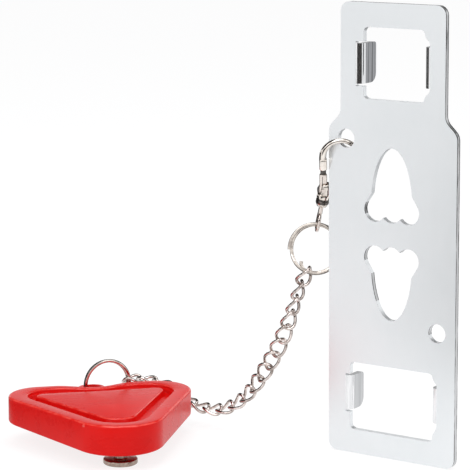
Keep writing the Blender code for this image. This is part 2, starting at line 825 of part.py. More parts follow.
def walk(points, chord, count):
    """Places one chord apart along a route, and how far past its end the last one falls."""
    places = [points[0]]
    index = 1
    for _ in range(count):
        here = places[-1]
        while index < len(points) and (points[index] - here).length < chord:
            index += 1
        if index == len(points):
            direction = (points[-1] - points[-2]).normalized()
            short = chord - (points[-1] - here).dot(direction)
            places.append(points[-1] + direction * short)
            continue
        back, ahead = points[index - 1], points[index]
        low, high = 0.0, 1.0
        for _ in range(40):
            middle = (low + high) / 2
            if (back.lerp(ahead, middle) - here).length < chord:
                low = middle
            else:
                high = middle
        places.append(back.lerp(ahead, high))
    end = points[-1]
    direction = (points[-1] - points[-2]).normalized()
    return places, (places[-1] - end).dot(direction) if index >= len(points) - 1 else -1.0


def chain_places(start, end):
    """Where each two links touch, from the upper ring to the lower one, one pitch apart."""
    span = end - start
    level = Vector((span.x, span.y, 0))
    side = Vector((-span.y, span.x, 0))
    places = []
    for along, sideways, down in CHAIN_ROUTE_SHARES:
        places.append(start + level * along - side * sideways + UP * span.z * down)
    route = smooth_route(places, 24)
    low, high = 0.3 * span.length / LINK_COUNT, 3 * span.length / LINK_COUNT
    for _ in range(50):
        chord = (low + high) / 2
        found, over = walk(route, chord, LINK_COUNT)
        if over < 0:
            low = chord
        else:
            high = chord
    found[-1] = route[-1]
    return found, chord


def link_curve(pitch):
    """One twisted oval link along its own X, from one touch to the next."""
    half_length = pitch / 2 + LINK_WIRE_RADIUS + LINK_GAP / 2
    half_width = LINK_WIDTH / 2 - LINK_WIRE_RADIUS
    points = []
    for i in range(LINK_POINTS):
        angle = 2 * math.pi * i / LINK_POINTS
        power = 2 / LINK_SQUARENESS
        x = half_length * math.copysign(abs(math.cos(angle)) ** power, math.cos(angle))
        y = half_width * math.copysign(abs(math.sin(angle)) ** power, math.sin(angle))
        turn = LINK_TWIST * x / half_length
        points.append((x, y * math.cos(turn), y * math.sin(turn)))
    return points


def make_chain(touches, pitch):
    """The links, and the frame of each: X along it and Z the way its flat side faces."""
    facing = Matrix.Rotation(SNAP_TURN, 3, "Z") @ Vector((0, -1, 0))
    shape = link_curve(pitch)
    first = tube_curve("chain_link_01", shape, LINK_WIRE_RADIUS, True, LOCK)
    links = [first]
    for i in range(1, LINK_COUNT):
        link = bpy.data.objects.new(f"chain_link_{i + 1:02d}", first.data)
        LOCK.objects.link(link)
        links.append(link)
    frames = []
    for i, link in enumerate(links):
        along = (touches[i + 1] - touches[i]).normalized()
        middle = (touches[i + 1] + touches[i]) / 2
        face = (facing - facing.dot(along) * along).normalized()
        face.rotate(Matrix.Rotation(math.radians(LINK_ROLLS[i % len(LINK_ROLLS)]), 3, along))
        across = face.cross(along)
        frame = Matrix((along, across, face)).transposed().to_4x4()
        frame.translation = middle
        link.matrix_world = frame
        frames.append(frame)
    finish(first, NICKEL_LOOK, smooth=False)
    return links, frames


def hull_outline(front_middle, front_radius, side_x, side_y, side_radius, dip, steps):
    """A rounded triangle round three circles, symmetric in X, its back drawn in by a dip."""
    apart = math.hypot(side_x, side_y - front_middle)
    bearing = math.atan2(side_y - front_middle, side_x)
    touch = bearing - math.acos((front_radius - side_radius) / apart)
    right = arc((0, front_middle), front_radius, -math.pi / 2, touch, steps)
    right += arc((side_x, side_y), side_radius, touch, math.pi / 2, steps)
    back = side_y + side_radius
    count = 5
    for i in range(1, count + 1):
        x = min(side_x, BACK_DIP_HALF_WIDTH) * (1 - i / count)
        depth = dip * (1 + math.cos(math.pi * x / BACK_DIP_HALF_WIDTH)) / 2
        right.append((x, back - depth))
    left = [(-x, y) for x, y in reversed(right[1:-1])]
    return right + left


def make_wedge(frame):
    """The red body: rim, groove and raised middle on top, a lug behind and the stud's bore below."""
    top = WEDGE_THICKNESS
    full = WEDGE_THICKNESS + 2 * OVERRUN
    outline = hull_outline(
        FRONT_MIDDLE, FRONT_RADIUS, SIDE_MIDDLE_X, SIDE_MIDDLE_Y, SIDE_RADIUS, BACK_DIP_DEPTH, 7
    )
    body = slab("wedge_body", [outline], full, LOCK, frame @ Matrix.Translation((0, 0, top - full / 2)))
    under_size = 4 * (SIDE_MIDDLE_X + SIDE_RADIUS)
    under_place = frame @ Matrix.Rotation(WEDGE_UNDER_RISE, 4, "X")
    under_place = under_place @ Matrix.Translation((0, 0, -under_size / 2))
    under = block("under_cut", (under_size, under_size, under_size), CUTTERS, under_place)
    boolean(body, under, "DIFFERENCE")
    soften = body.modifiers.new("edges", "BEVEL")
    soften.width = WEDGE_EDGE_RADIUS
    soften.segments = 2
    soften.limit_method = "ANGLE"
    soften.angle_limit = math.radians(60)
    groove_place = frame @ Matrix.Translation((0, 0, top - GROOVE_DEPTH / 2 + OVERRUN / 2))
    outer = hull_outline(
        GROOVE_FRONT_MIDDLE,
        GROOVE_FRONT_RADIUS,
        GROOVE_SIDE_MIDDLE_X,
        GROOVE_SIDE_MIDDLE_Y,
        GROOVE_SIDE_RADIUS,
        GROOVE_DIP_DEPTH,
        6,
    )
    inner = hull_outline(
        MIDDLE_FRONT_MIDDLE,
        MIDDLE_FRONT_RADIUS,
        MIDDLE_SIDE_MIDDLE_X,
        MIDDLE_SIDE_MIDDLE_Y,
        MIDDLE_SIDE_RADIUS,
        MIDDLE_DIP_DEPTH,
        5,
    )
    groove = slab("rim_groove", [outer, inner], GROOVE_DEPTH + OVERRUN, CUTTERS, groove_place)
    boolean(body, groove, "DIFFERENCE")
    drop_place = frame @ Matrix.Translation((0, 0, top - MIDDLE_DROP / 2 + OVERRUN / 2))
    between = hull_outline(
        (GROOVE_FRONT_MIDDLE + MIDDLE_FRONT_MIDDLE) / 2,
        (GROOVE_FRONT_RADIUS + MIDDLE_FRONT_RADIUS) / 2,
        (GROOVE_SIDE_MIDDLE_X + MIDDLE_SIDE_MIDDLE_X) / 2,
        (GROOVE_SIDE_MIDDLE_Y + MIDDLE_SIDE_MIDDLE_Y) / 2,
        (GROOVE_SIDE_RADIUS + MIDDLE_SIDE_RADIUS) / 2,
        (GROOVE_DIP_DEPTH + MIDDLE_DIP_DEPTH) / 2,
        6,
    )
    drop = slab("middle_drop", [between], MIDDLE_DROP + OVERRUN, CUTTERS, drop_place)
    boolean(body, drop, "DIFFERENCE")
    lug_end = LUG_HOLE_BACK + LUG_HOLE_RADIUS + LUG_WALL
    inside = SIDE_MIDDLE_Y + SIDE_RADIUS - BACK_DIP_DEPTH - OVERRUN
    corners = [
        (LUG_SIDE - LUG_HALF_WIDTH, inside),
        (LUG_SIDE + LUG_HALF_WIDTH, inside),
        (LUG_SIDE + LUG_HALF_WIDTH, lug_end),
        (LUG_SIDE - LUG_HALF_WIDTH, lug_end),
    ]
    radii = [BOX_BEVEL, BOX_BEVEL, LUG_END_RADIUS, LUG_END_RADIUS]
    lug_place = frame @ Matrix.Translation((0, 0, lug_middle()))
    lug = slab("lug", [rounded(corners, radii, 5)], LUG_THICKNESS, CUTTERS, lug_place)
    boolean(body, lug, "UNION")
    hole_place = frame @ Matrix.Translation((LUG_SIDE, LUG_HOLE_BACK, lug_middle()))
    hole = cylinder("lug_hole", LUG_HOLE_RADIUS, LUG_THICKNESS + 2 * OVERRUN, 24, CUTTERS, hole_place)
    boolean(body, hole, "DIFFERENCE")
    bore_depth = STUD_SHANK_LENGTH + STUD_SEAT_GAP
    bore_place = frame @ Matrix.Translation((0, 0, bore_depth / 2 - OVERRUN / 2))
    bore_radius = STUD_NECK_RADIUS + STUD_CLEARANCE
    bore = cylinder("stud_bore", bore_radius, bore_depth + OVERRUN, 20, CUTTERS, bore_place)
    boolean(body, bore, "DIFFERENCE")
    finish(body, RED_LOOK)
    return body


def lug_middle():
    return WEDGE_THICKNESS - LUG_DROP - LUG_THICKNESS / 2


def make_stud(frame):
    """The mushroom stud that locks into the plate's keyhole lobes."""
    low = -STUD_NECK_LENGTH - STUD_HEAD_HEIGHT
    edge = STUD_HEAD_CHAMFER
    profile = [
        (0, STUD_SHANK_LENGTH),
        (STUD_NECK_RADIUS, STUD_SHANK_LENGTH),
        (STUD_NECK_RADIUS, -STUD_NECK_LENGTH),
        (STUD_HEAD_RADIUS - edge, -STUD_NECK_LENGTH),
        (STUD_HEAD_RADIUS, -STUD_NECK_LENGTH - edge),
        (STUD_HEAD_RADIUS, low + edge),
        (STUD_HEAD_RADIUS - edge, low),
        (0, low),
    ]
    stud = turned("locking_stud", profile, 28, LOCK, frame)
    finish(stud, DARK_LOOK)
    return stud


def wedge_frame():
    height = -PLATE_HEIGHT / 2 + STUD_HEAD_HEIGHT + STUD_NECK_LENGTH
    turn = Matrix.Rotation(WEDGE_TURN, 4, "Z") @ Matrix.Rotation(WEDGE_LEAN, 4, "Y")
    return Matrix.Translation((WEDGE_X, WEDGE_Y, height)) @ turn


def build():
    plate = make_plate()
    snap_at = snap_frame()
    body, pivot = make_snap(snap_at)
    gate, rivet, _ = make_gate(snap_at, pivot)
    spring = make_spring(snap_at)
    eye = make_eye(snap_at)

    eye_wire = snap_at @ Vector((0, 0, -EYE_DROP))
    ring_top = snap_at @ Vector((0, 0, -EYE_DROP + EYE_TO_RING))
    ring_turn = Matrix.Rotation(SNAP_TURN, 4, "Z") @ Matrix.Rotation(math.pi / 2 - RING_TILT, 4, "X")
    hang = Vector((math.sin(RING_SWAY), math.cos(RING_SWAY), 0))
    ring_centre = ring_top - ring_turn.to_3x3() @ (hang * RING_RADIUS)
    upper_at = Matrix.Translation(ring_centre) @ ring_turn
    upper_ring = make_ring("upper_split_ring", upper_at)

    wedge_at = wedge_frame()
    leg_side = LUG_SIDE - LUG_HOLE_RADIUS + RING_WIRE_RADIUS + STUD_SEAT_GAP
    leg = wedge_at @ Vector((leg_side, LUG_HOLE_BACK, WEDGE_THICKNESS - LUG_RING_DROP))
    heading = WEDGE_TURN + LUG_RING_HEADING
    outward = Vector((math.cos(heading), math.sin(heading), 0))
    lower_centre = leg + outward * RING_RADIUS
    lower_at = Matrix.Translation(lower_centre) @ Matrix.Rotation(heading, 4, "Z")
    lower_at = lower_at @ Matrix.Rotation(math.pi / 2, 4, "X")
    lower_ring = make_ring("lower_split_ring", lower_at)

    spoke = Vector((math.cos(RING_CHAIN_ANGLE), math.sin(RING_CHAIN_ANGLE), 0))
    ring_wire = upper_at @ (spoke * RING_RADIUS)
    inward = (upper_at.to_3x3() @ spoke) * -1
    start = ring_wire + inward * (RING_WIRE_RADIUS + UPPER_LINK_GAP / 2)
    start += upper_at.to_3x3() @ Vector((0, 0, UPPER_LINK_SHIFT))
    last_spoke = outward * math.cos(LUG_RING_LINK_ANGLE) + UP * math.sin(LUG_RING_LINK_ANGLE)
    far_leg = lower_centre + last_spoke * RING_RADIUS
    end = far_leg - last_spoke * (RING_WIRE_RADIUS + RING_LINK_GAP / 2)
    touches, pitch = chain_places(start, end)
    print(f"chain pitch {1000 * pitch:.3f} mm, {LINK_COUNT} links")
    links, frames = make_chain(touches, pitch)

    wedge = make_wedge(wedge_at)
    stud = make_stud(wedge_at)

    swing_place = Vector((-hole_side(), -PLATE_THICKNESS / 2, HOLE_HEIGHT))
    swing = joint("swing_axis", axes(swing_place, Vector((0, 1, 0)), Vector((1, 0, 0))), None, [body, rivet, spring])
    joint("gate_axis", pivot @ Matrix.Rotation(math.pi, 4, "X"), swing, [gate])
    swivel = joint("swivel_axis", snap_at, swing, [eye])
    ring_axis = ring_turn.to_3x3() @ Vector((0, 0, 1))
    parent = joint("upper_ring_axis", axes(eye_wire, ring_axis, UP), swivel, [upper_ring])
    half = LINK_WIRE_RADIUS + LINK_GAP / 2
    for i, link in enumerate(links):
        along = frames[i].to_3x3() @ Vector((1, 0, 0))
        own = frames[i].to_3x3() @ Vector((0, math.cos(LINK_TWIST), -math.sin(LINK_TWIST)))
        if i == 0:
            tangent = upper_at.to_3x3() @ Vector((-spoke.y, spoke.x, 0))
            place = axes(ring_wire, tangent, along)
        elif i % 2:
            before = frames[i - 1].to_3x3()
            held = before @ Vector((0, math.cos(LINK_TWIST), math.sin(LINK_TWIST)))
            place = axes(touches[i] + before @ Vector((half, 0, 0)), held, along)
        else:
            place = axes(touches[i] - along * half, own, along)
        parent = joint(f"link_axis_{i + 1:02d}", place, parent, [link])
    leg_along = outward * -math.sin(LUG_RING_LINK_ANGLE) + UP * math.cos(LUG_RING_LINK_ANGLE)
    parent = joint("lower_ring_axis", axes(far_leg, leg_along, outward), parent, [lower_ring])
    joint("wedge_axis", axes(Vector((leg.x, leg.y, wedge_at.translation.z + lug_middle())), UP, outward), parent, [wedge, stud])
    return plate


clear_scene()
LOCK = new_collection("portable_door_lock")
CUTTERS = new_collection("cutters")
STEEL_LOOK = material("bright_steel", STEEL, 1.0, 0.18)
NICKEL_LOOK = material("nickel_plate", NICKEL, 1.0, 0.22)
DARK_LOOK = material("dark_nickel", DARK_NICKEL, 1.0, 0.30)
RED_LOOK = material("red_plastic", RED_PLASTIC, 0.0, 0.32)
build()
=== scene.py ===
"""Portable door lock, dressed: a plated strike plate, a snap, split rings, a twisted chain and a red wedge.

Lengths are metres in the CAD model's frame: X to the plate's right, Y to its back and Z up.
The camera stands where the photograph's camera stood.
"""

from math import acos, atan2, copysign, cos, hypot, pi, radians, sin, tan

import bmesh
import bpy
from mathutils import Matrix, Vector


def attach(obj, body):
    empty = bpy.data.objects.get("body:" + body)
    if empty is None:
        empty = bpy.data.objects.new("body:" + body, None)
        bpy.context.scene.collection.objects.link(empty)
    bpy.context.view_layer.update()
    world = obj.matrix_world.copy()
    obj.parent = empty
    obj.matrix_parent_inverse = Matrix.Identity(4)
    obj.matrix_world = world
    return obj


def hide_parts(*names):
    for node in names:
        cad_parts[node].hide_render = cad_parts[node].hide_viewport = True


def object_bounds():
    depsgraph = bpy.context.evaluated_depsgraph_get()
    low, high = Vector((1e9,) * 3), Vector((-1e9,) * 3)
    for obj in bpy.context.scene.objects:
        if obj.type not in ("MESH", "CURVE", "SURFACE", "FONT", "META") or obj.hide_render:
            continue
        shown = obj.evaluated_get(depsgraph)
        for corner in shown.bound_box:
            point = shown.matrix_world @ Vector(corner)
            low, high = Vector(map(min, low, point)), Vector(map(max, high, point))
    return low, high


# Camera, fitted to the plate's outline
LENS = 172.647
SENSOR = 36.0
CAMERA_AT = Vector((0.382216, -0.649899, 0.141485))
CAMERA_AZIMUTH = radians(34.575)
CAMERA_ELEVATION = radians(10.637)
CAMERA_ROLL = radians(-0.408)

# Strike plate. A row of CLAWS gives its lowest and highest level and how far out its bend reaches. A
# row of RELIEFS gives the window's edge, how far out the claws' slot reaches, and the lengths of the
# reliefs below and above it. BEND_ENDS are for the upper and the lower row.
PLATE_THICKNESS = 0.0020
SHEET_SKIN = PLATE_THICKNESS * 0.1
SHEET_MERGE = 0.000005
SHEET_LEVEL = radians(0.4)
HOLE_SIDE = 0.0180
HOLE_HEIGHT = 0.0319
RIM_ROUND = 0.00046
BEND_REACH = 0.0027
BEND_SPARE = 0.0002
BEND_ENDS = (0.0006, -0.0004)
OUTLINE_SIDE = 0.0195
OUTLINE_END = 0.0725
NECK_FOOT = 0.034
KEYHOLE_END = 0.044
LOBE_TOP = 0.012
CLAWS = ((0.0501, 0.0652, 0.0145), (-0.0640, -0.0504, 0.0182))
RELIEFS = ((0.01245, 0.0144, 0.0026, 0.0034), (0.01650, 0.0181, 0.0043, 0.0028))
RELIEF_STEPS = 13
RELIEF_PAST = 0.0005
RELIEF_SHY = 0.00003

# The plate's finishes, and the shares of a face's normal that tell them apart
FLAT, SHEARED, DRAWN, ROLLED = range(4)
LEVEL_FACING = 0.98
RIM_FACING = 0.2
WALL_FACING = 0.3
LOBE_FACING = 0.35
NECK_FACING = 0.05
CLAW_FACING = 0.1
CLAW_END_FACING = 0.5
BEND_FACING = 0.06

# Snap, in its own frame on the top of its collar
SNAP_TURN = radians(34.5)
SNAP_LEAN = radians(20.4)
SNAP_SLANT = radians(9.3)
SNAP_HOLE_DROP = 0.00134
SNAP_HOLE_SHIFT = 0.00026
HOOK_SIDE = 0.0030
HOOK_HEIGHT = 0.0153
HOOK_RADIUS = 0.00604
HOOK_TURN = radians(78.0)
SPINE_WIRE = 0.0012
HOOK_WIRE = 0.00080
NOSE_LENGTH = 0.0059
NOSE_LEAN = 0.0011
NOSE_BLOCK = (0.0026, 0.0025, 0.0040)
NOSE_ROUND = 0.0004
NOSE_NOTCH = (0.0034, 0.0010, 0.0016)
HOOK_STEPS = 40
SNAP_EDGE = 0.00009
SPINE_FOOT_SIDE = 0.0020
COLLAR_RADIUS = 0.0023
COLLAR_HEIGHT = 0.0050
COLLAR_FOOT_RADIUS = 0.0016
COLLAR_EDGE = 0.0004
COLLAR_STEP = 0.0001
COLLAR_BAND = (-0.0036, -0.0010)
JAW_THICKNESS = 0.0036
JAW_HEIGHT = 0.0040
JAW_WIDTH = 0.0036
JAW_SIDE = 0.0004
JAW_ROOT = 0.0012
JAW_ROUND = 0.0008
JAW_SLOT = 0.0021
JAW_SLOT_END = 0.0017
JAW_FLOOR = 0.0002
CUT_PAST = 0.001
CHEEK_LINE_SHORT = 0.0010
GATE_THICKNESS = 0.0015
GATE_WIDTH = 0.0026
GATE_FOLD_SIDE = 0.00030
GATE_FOLD_WIDTH = 0.00022
GATE_FOLD_DEPTH = 0.00020
GATE_FOLD_FOOT = 0.0010
GATE_FOLD_SHORT = 0.0016
GATE_ROUND = 0.0004
GATE_EDGE = 0.00022
GATE_SLACK = 0.00005
GATE_PIVOT = (-0.0006, 0.0019)
GATE_NOSE_GAP = 0.0003
GATE_TIP = 0.0017
GATE_TIP_SHARE = 0.75
GATE_TIP_THICKNESS = 0.0008
GATE_TIP_ROOT = 0.0002
GATE_TIP_ROUND = 0.0001
LEVER_LENGTH = 0.0008
LEVER_WIDTH = 0.0014
RIVET_RADIUS = 0.0005
RIVET_HEAD_RADIUS = 0.0007
RIVET_HEAD_HEIGHT = 0.00004
SPRING_RADIUS = 0.0006
SPRING_WIRE = 0.0001
SPRING_PITCH = 0.00062
SPRING_TURNS = 1.5
SPRING_STEPS = 32

# Swivel eye
EYE_DROP = 0.0148
EYE_WIRE = 0.0006
EYE_WIDTH = 0.0056
EYE_LENGTH = 0.0078
EYE_STEPS = 28
STEM_RADIUS = 0.0008
STEM_STEP = 0.0002
STEM_BORE_RADIUS = 0.0011
STEM_BORE_DEPTH = 0.0028

# Split rings
RING_RADIUS = 0.0085
RING_WIRE = 0.0006
RING_HALF_HEIGHT = 0.000945
RING_TURN_HALF = 0.00044
RING_TILT = radians(10.6)
RING_SWAY = radians(5.0)
RING_CHAIN_ANGLE = radians(250.0)
RING_SPLIT_ANGLE = radians(201.0)
EYE_TO_RING = 0.0021
RING_START_SHARE = 0.055
RING_CLIMB_SHARE = 0.06
RING_TUCK_SHARE = 0.07
RING_TUCK_DEPTH = 0.0018
RING_FLARE_SHARE = 0.30
RING_FLARE = 0.00055
RING_TURN_STEP = 0.00012
STRIP_SQUARENESS = 0.55
STRIP_STEPS = 20
# Outward share of the facing past which a ring's faces take a painted dark reflection
RING_PAINTED_EDGE_FROM = 0.45
RING_STEPS = 180

# Chain
LINK_COUNT = 19
LINK_WIDTH = 0.0063
LINK_WIRE = 0.00057
LINK_GAP = 0.0003
LINK_TWIST = radians(45.0)
LINK_SQUARENESS = 2.4
RING_LINK_GAP = 0.0013
UPPER_LINK_SHIFT = 0.0005
UPPER_LINK_GAP = 0.0005
LINK_STEPS = 66
ROUTE_STEPS = 24
CHAIN_ROUTE_SHARES = [
    (0, 0, 0),
    (0.034, 0.006, 0.094),
    (0.095, 0.016, 0.345),
    (0.160, 0.027, 0.594),
    (0.259, 0.044, 0.842),
    (0.369, 0.063, 1.059),
    (0.501, 0.085, 1.182),
    (0.630, 0.108, 1.197),
    (0.700, 0.122, 1.165),
    (0.793, 0.141, 1.087),
    (0.870, 0.120, 1.040),
    (0.944, 0.076, 1.008),
    (1, 0, 1),
]
LINK_ROLLS = [-40, -56, -52, -34, -14, 0, 12, 28, 44, 58, 66, 72, 76, 80, 82, 84, 88, 90, 90]

# Wedge, told from the stud's axis. An outline has the middle and radius of its front circle, the place
# and radius of its side circles, and the dip of its back.
WEDGE_AT = Vector((-0.0749, -0.0569, -0.0724))
WEDGE_TURN = radians(48.9)
WEDGE_LEAN = radians(0.9)
WEDGE_THICKNESS = 0.0103
WEDGE_UNDER_RISE = radians(1.6)
WEDGE_OUTLINE = (0.0038, 0.0162, 0.0206, 0.0358, 0.0124, 0.0047)
GROOVE_OUTLINE = (0.0038, 0.0109, 0.0173, 0.0345, 0.0091, 0.0034)
MIDDLE_OUTLINE = (0.0058, 0.0068, 0.0203, 0.0359, 0.0027, 0.0004)
DIP_HALF_WIDTH = 0.0150
FRONT_STEPS = 18
SIDE_STEPS = 22
BACK_STEPS = 12
GROOVE_DEPTH = 0.0026
MIDDLE_DROP = 0.0003
RIM_EDGE = 0.0009
RIM_INNER_EDGE = 0.0005
FOOT_EDGE = 0.0006
MIDDLE_EDGE = 0.0006
MIDDLE_SLOPE = 0.0004
MIDDLE_FOOT_EDGE = 0.0004
LEDGE_DROP = 0.0011
LEDGE_WIDTH = 0.00045
WALL_LEAN = 0.0001
# Upward shares of the facing between which the wedge's rim edges take a painted highlight
RIM_HIGHLIGHT_FROM = 0.45
RIM_HIGHLIGHT_TO = 0.97
NUB_BEARING = radians(-58.0)
NUB_DROP = 0.0010
NUB_SUNK = 0.00045
NUB_RADIUS = 0.0007
NUB_SHARES = ((1, -1), (1, 0.4), (0.7, 0.8), (0.25, 1))
LUG_HALF_WIDTH = 0.0049
LUG_THICKNESS = 0.0042
LUG_DROP = 0.0013
LUG_SIDE = -0.0008
LUG_END_RADIUS = 0.0040
LUG_HOLE_RADIUS = 0.0032
LUG_HOLE_BACK = 0.0478
LUG_WALL = 0.0014
LUG_EDGE = 0.0004
LUG_HOLE_EDGE = 0.0002
LUG_INSIDE = 0.001
LUG_RING_HEADING = radians(12.0)
LUG_RING_DROP = 0.0009
LUG_RING_LINK_ANGLE = radians(3.0)
STUD_SEAT_GAP = 0.0003

# Stud
STUD_HEAD_RADIUS = 0.0060
STUD_HEAD_HEIGHT = 0.0020
STUD_NECK_RADIUS = 0.0024
STUD_NECK_LENGTH = 0.0041
STUD_NECK_FILLET = 0.0003
STUD_SUNK = 0.0008
STUD_FACE_MIDDLE = 0.0012
STUD_FACE_RINGS = (0.0011, 0.0009)
STUD_BEVEL = 0.0001
STUD_EDGE = ((0.00035, 0), (0.00010, 0.00020), (0, 0.00045))

# Stage. Dark screens show only in the metal. Each has its bearing from straight in front and its half
# width in degrees, and those of the walls their lowest and highest elevation too.
FLOOR_SIZE = 8
FLOOR_GAP = 0.00005
FLOOR_FADE = (0.10, 0.22)
FLOOR_SCREENS = ((23, 48), (-127, 77))
WALL_SCREENS = ((-68, 54, 6, 84), (108, 20, -2, 74), (-145, 60, 20, 80))
SCREEN_EDGE = radians(3)
LAMP_AIM = Vector((-0.03, 0, 0))
LAMPS = (
    ("key", (0.16, -0.80, 0.74), 0.50, 0.50, 2.2),
    ("side", (0.75, -0.10, 0.40), 0.35, 0.60, 1.2),
    ("top", (-0.05, 0.05, 0.95), 0.60, 0.45, 2.5),
    ("front", (-0.25, -0.95, 0.20), 0.30, 0.70, 0.8),
)

UP = Vector((0, 0, 1))

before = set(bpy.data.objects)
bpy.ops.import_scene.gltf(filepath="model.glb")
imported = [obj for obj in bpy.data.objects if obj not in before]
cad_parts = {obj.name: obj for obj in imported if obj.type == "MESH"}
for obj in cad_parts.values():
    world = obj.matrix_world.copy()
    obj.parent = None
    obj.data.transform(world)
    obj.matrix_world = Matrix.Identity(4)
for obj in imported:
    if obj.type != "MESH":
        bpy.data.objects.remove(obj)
cad_low, cad_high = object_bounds()


# Modelling by hand

def shifted(x, y, z):
    """A place moved along the axes."""
    return Matrix.Translation((x, y, z))


def rotated(angle, axis):
    """A place turned about an axis."""
    return Matrix.Rotation(angle, 4, axis)


def alone(piece):
    """Select one object and nothing else."""
    bpy.ops.object.select_all(action="DESELECT")
    piece.select_set(True)
    bpy.context.view_layer.objects.active = piece


def new_piece(name, data):
    """A new object with its data, in the scene."""
    piece = bpy.data.objects.new(name, data)
    bpy.context.scene.collection.objects.link(piece)
    return piece


def primitive(name, operator, **settings):
    """One of Blender's primitives, selected alone."""
    bpy.ops.object.select_all(action="DESELECT")
    operator(**settings)
    bpy.context.object.name = name
    return bpy.context.object


def edit(piece, operator, **settings):
    """Run one edit-mode operator on the whole of a piece."""
    alone(piece)
    bpy.ops.object.mode_set(mode="EDIT")
    bpy.ops.mesh.select_all(action="SELECT")
    operator(**settings)
    bpy.ops.object.mode_set(mode="OBJECT")


def settle(piece, place):
    """Put a piece in its place and leave the place in its mesh."""
    piece.matrix_world = place
    alone(piece)
    bpy.ops.object.transform_apply(location=True, rotation=True, scale=True)
    return piece


def tidy(piece, merge=0.000002):
    """Merge doubles and turn every face outwards."""
    edit(piece, bpy.ops.mesh.remove_doubles, threshold=merge)
    edit(piece, bpy.ops.mesh.normals_make_consistent, inside=False)
    return piece


def smooth(piece, angle):
    """Shade a piece smooth over edges that are blunter than an angle."""
    alone(piece)
    bpy.ops.object.shade_smooth_by_angle(angle=radians(angle))
    return piece


def modify(piece, kind, **settings):
    """Add one modifier and apply it."""
    alone(piece)
    change = piece.modifiers.new(kind.lower(), kind)
    for name, value in settings.items():
        setattr(change, name, value)
    bpy.ops.object.modifier_apply(modifier=change.name)
    return piece


def bevel(piece, width, segments, angle):
    """Round the edges that are sharper than an angle."""
    limit = radians(angle)
    return modify(piece, "BEVEL", width=width, segments=segments, limit_method="ANGLE", angle_limit=limit)


def cut(piece, tool, operation="DIFFERENCE"):
    """Cut a tool from a piece, or join it on, and drop the tool."""
    modify(piece, "BOOLEAN", object=tool, operation=operation, solver="EXACT")
    bpy.data.objects.remove(tool, do_unlink=True)


def raised(name, outlines, place):
    """A solid raised ring by ring: a filled circle whose top face is extruded to each next outline."""
    add = bpy.ops.mesh.primitive_circle_add
    piece = primitive(name, add, vertices=len(outlines[0]), radius=1, fill_type="NGON")
    bpy.ops.object.mode_set(mode="EDIT")
    for number, outline in enumerate(outlines):
        if number:
            bpy.ops.mesh.extrude_region_move()
        shape = bmesh.from_edit_mesh(piece.data)
        top = [face for face in shape.faces if face.select][0]
        for corner, point in zip(top.loops, outline):
            corner.vert.co = point
        bmesh.update_edit_mesh(piece.data)
    bpy.ops.object.mode_set(mode="OBJECT")
    return tidy(settle(piece, place))


def turned(name, profile, steps, place):
    """A turned solid from a profile of radii and heights."""
    angles = [2 * pi * i / steps for i in range(steps)]
    outlines = [[(r * cos(a), r * sin(a), height) for a in angles] for r, height in profile]
    return raised(name, outlines, place)


def block(name, size, round_by, place):
    """A block with rounded edges."""
    piece = primitive(name, bpy.ops.mesh.primitive_cube_add, size=1)
    edit(piece, bpy.ops.transform.resize, value=size)
    if round_by:
        edit(piece, bpy.ops.mesh.bevel, offset=round_by, segments=3, affect="EDGES")
    return settle(piece, place)


def outline_curve(name, points, dimensions, closed):
    """A straight-edged curve through points."""
    data = bpy.data.curves.new(name, "CURVE")
    data.dimensions = dimensions
    line = data.splines.new("POLY")
    line.points.add(len(points) - 1)
    for spot, point in zip(line.points, points):
        spot.co = (*point, 1)
    line.use_cyclic_u = closed
    return new_piece(name, data)


def wire(name, points, radius, closed, place, shares=None, around=5, section=None):
    """A wire along points, round or with its own section, as a mesh."""
    piece = outline_curve(name, points, "3D", closed)
    data = piece.data
    data.bevel_resolution = around
    data.use_fill_caps = not closed
    if section:
        data.bevel_mode = "OBJECT"
        data.bevel_object = section
        data.twist_mode = "Z_UP"
    else:
        data.bevel_depth = radius
    for spot, share in zip(data.splines[0].points, shares or []):
        spot.radius = share
    alone(piece)
    bpy.ops.object.convert(target="MESH")
    return tidy(settle(bpy.context.object, place))


def arc(centre, radius, start, end, steps):
    """Points of a plane arc, both ends included."""
    angles = [start + (end - start) * i / steps for i in range(steps + 1)]
    return [(centre[0] + radius * cos(a), centre[1] + radius * sin(a)) for a in angles]


def squared(angle, power):
    """A point of a circle drawn out towards a square: the lower the power, the squarer."""
    return [copysign(abs(share) ** power, share) for share in (cos(angle), sin(angle))]


def rounded(corners, radius, steps):
    """A closed outline through plane corners, each rounded."""
    points = []
    for i, here in enumerate(corners):
        back = (corners[i - 1] - here).normalized()
        ahead = (corners[(i + 1) % len(corners)] - here).normalized()
        half = back.angle(ahead) / 2
        centre = here + (back + ahead).normalized() * radius / sin(half)
        first = here + back * radius / tan(half) - centre
        turn = first.angle_signed(here + ahead * radius / tan(half) - centre)
        for k in range(steps + 1):
            spoke = first.copy()
            spoke.rotate(Matrix.Rotation(-turn * k / steps, 2))
            points.append(tuple(centre + spoke))
    return points


def slab(name, outline, low, high, edge, place):
    """A plate of one outline between two levels, its edges rounded afterwards."""
    levels = [[(x, y, z) for x, y in outline] for z in (low, high)]
    piece = raised(name, levels, Matrix.Identity(4))
    if edge:
        bevel(piece, edge, 3, 60)
    return settle(piece, place)


def mark(piece, at, material, rule):
    """Give a second material to the faces that a rule picks by middle and facing in the piece's frame."""
    piece.data.materials.append(material)
    back = at.inverted()
    turn = back.to_3x3()
    for face in piece.data.polygons:
        if rule(back @ face.center, turn @ face.normal):
            face.material_index = 1


# Materials

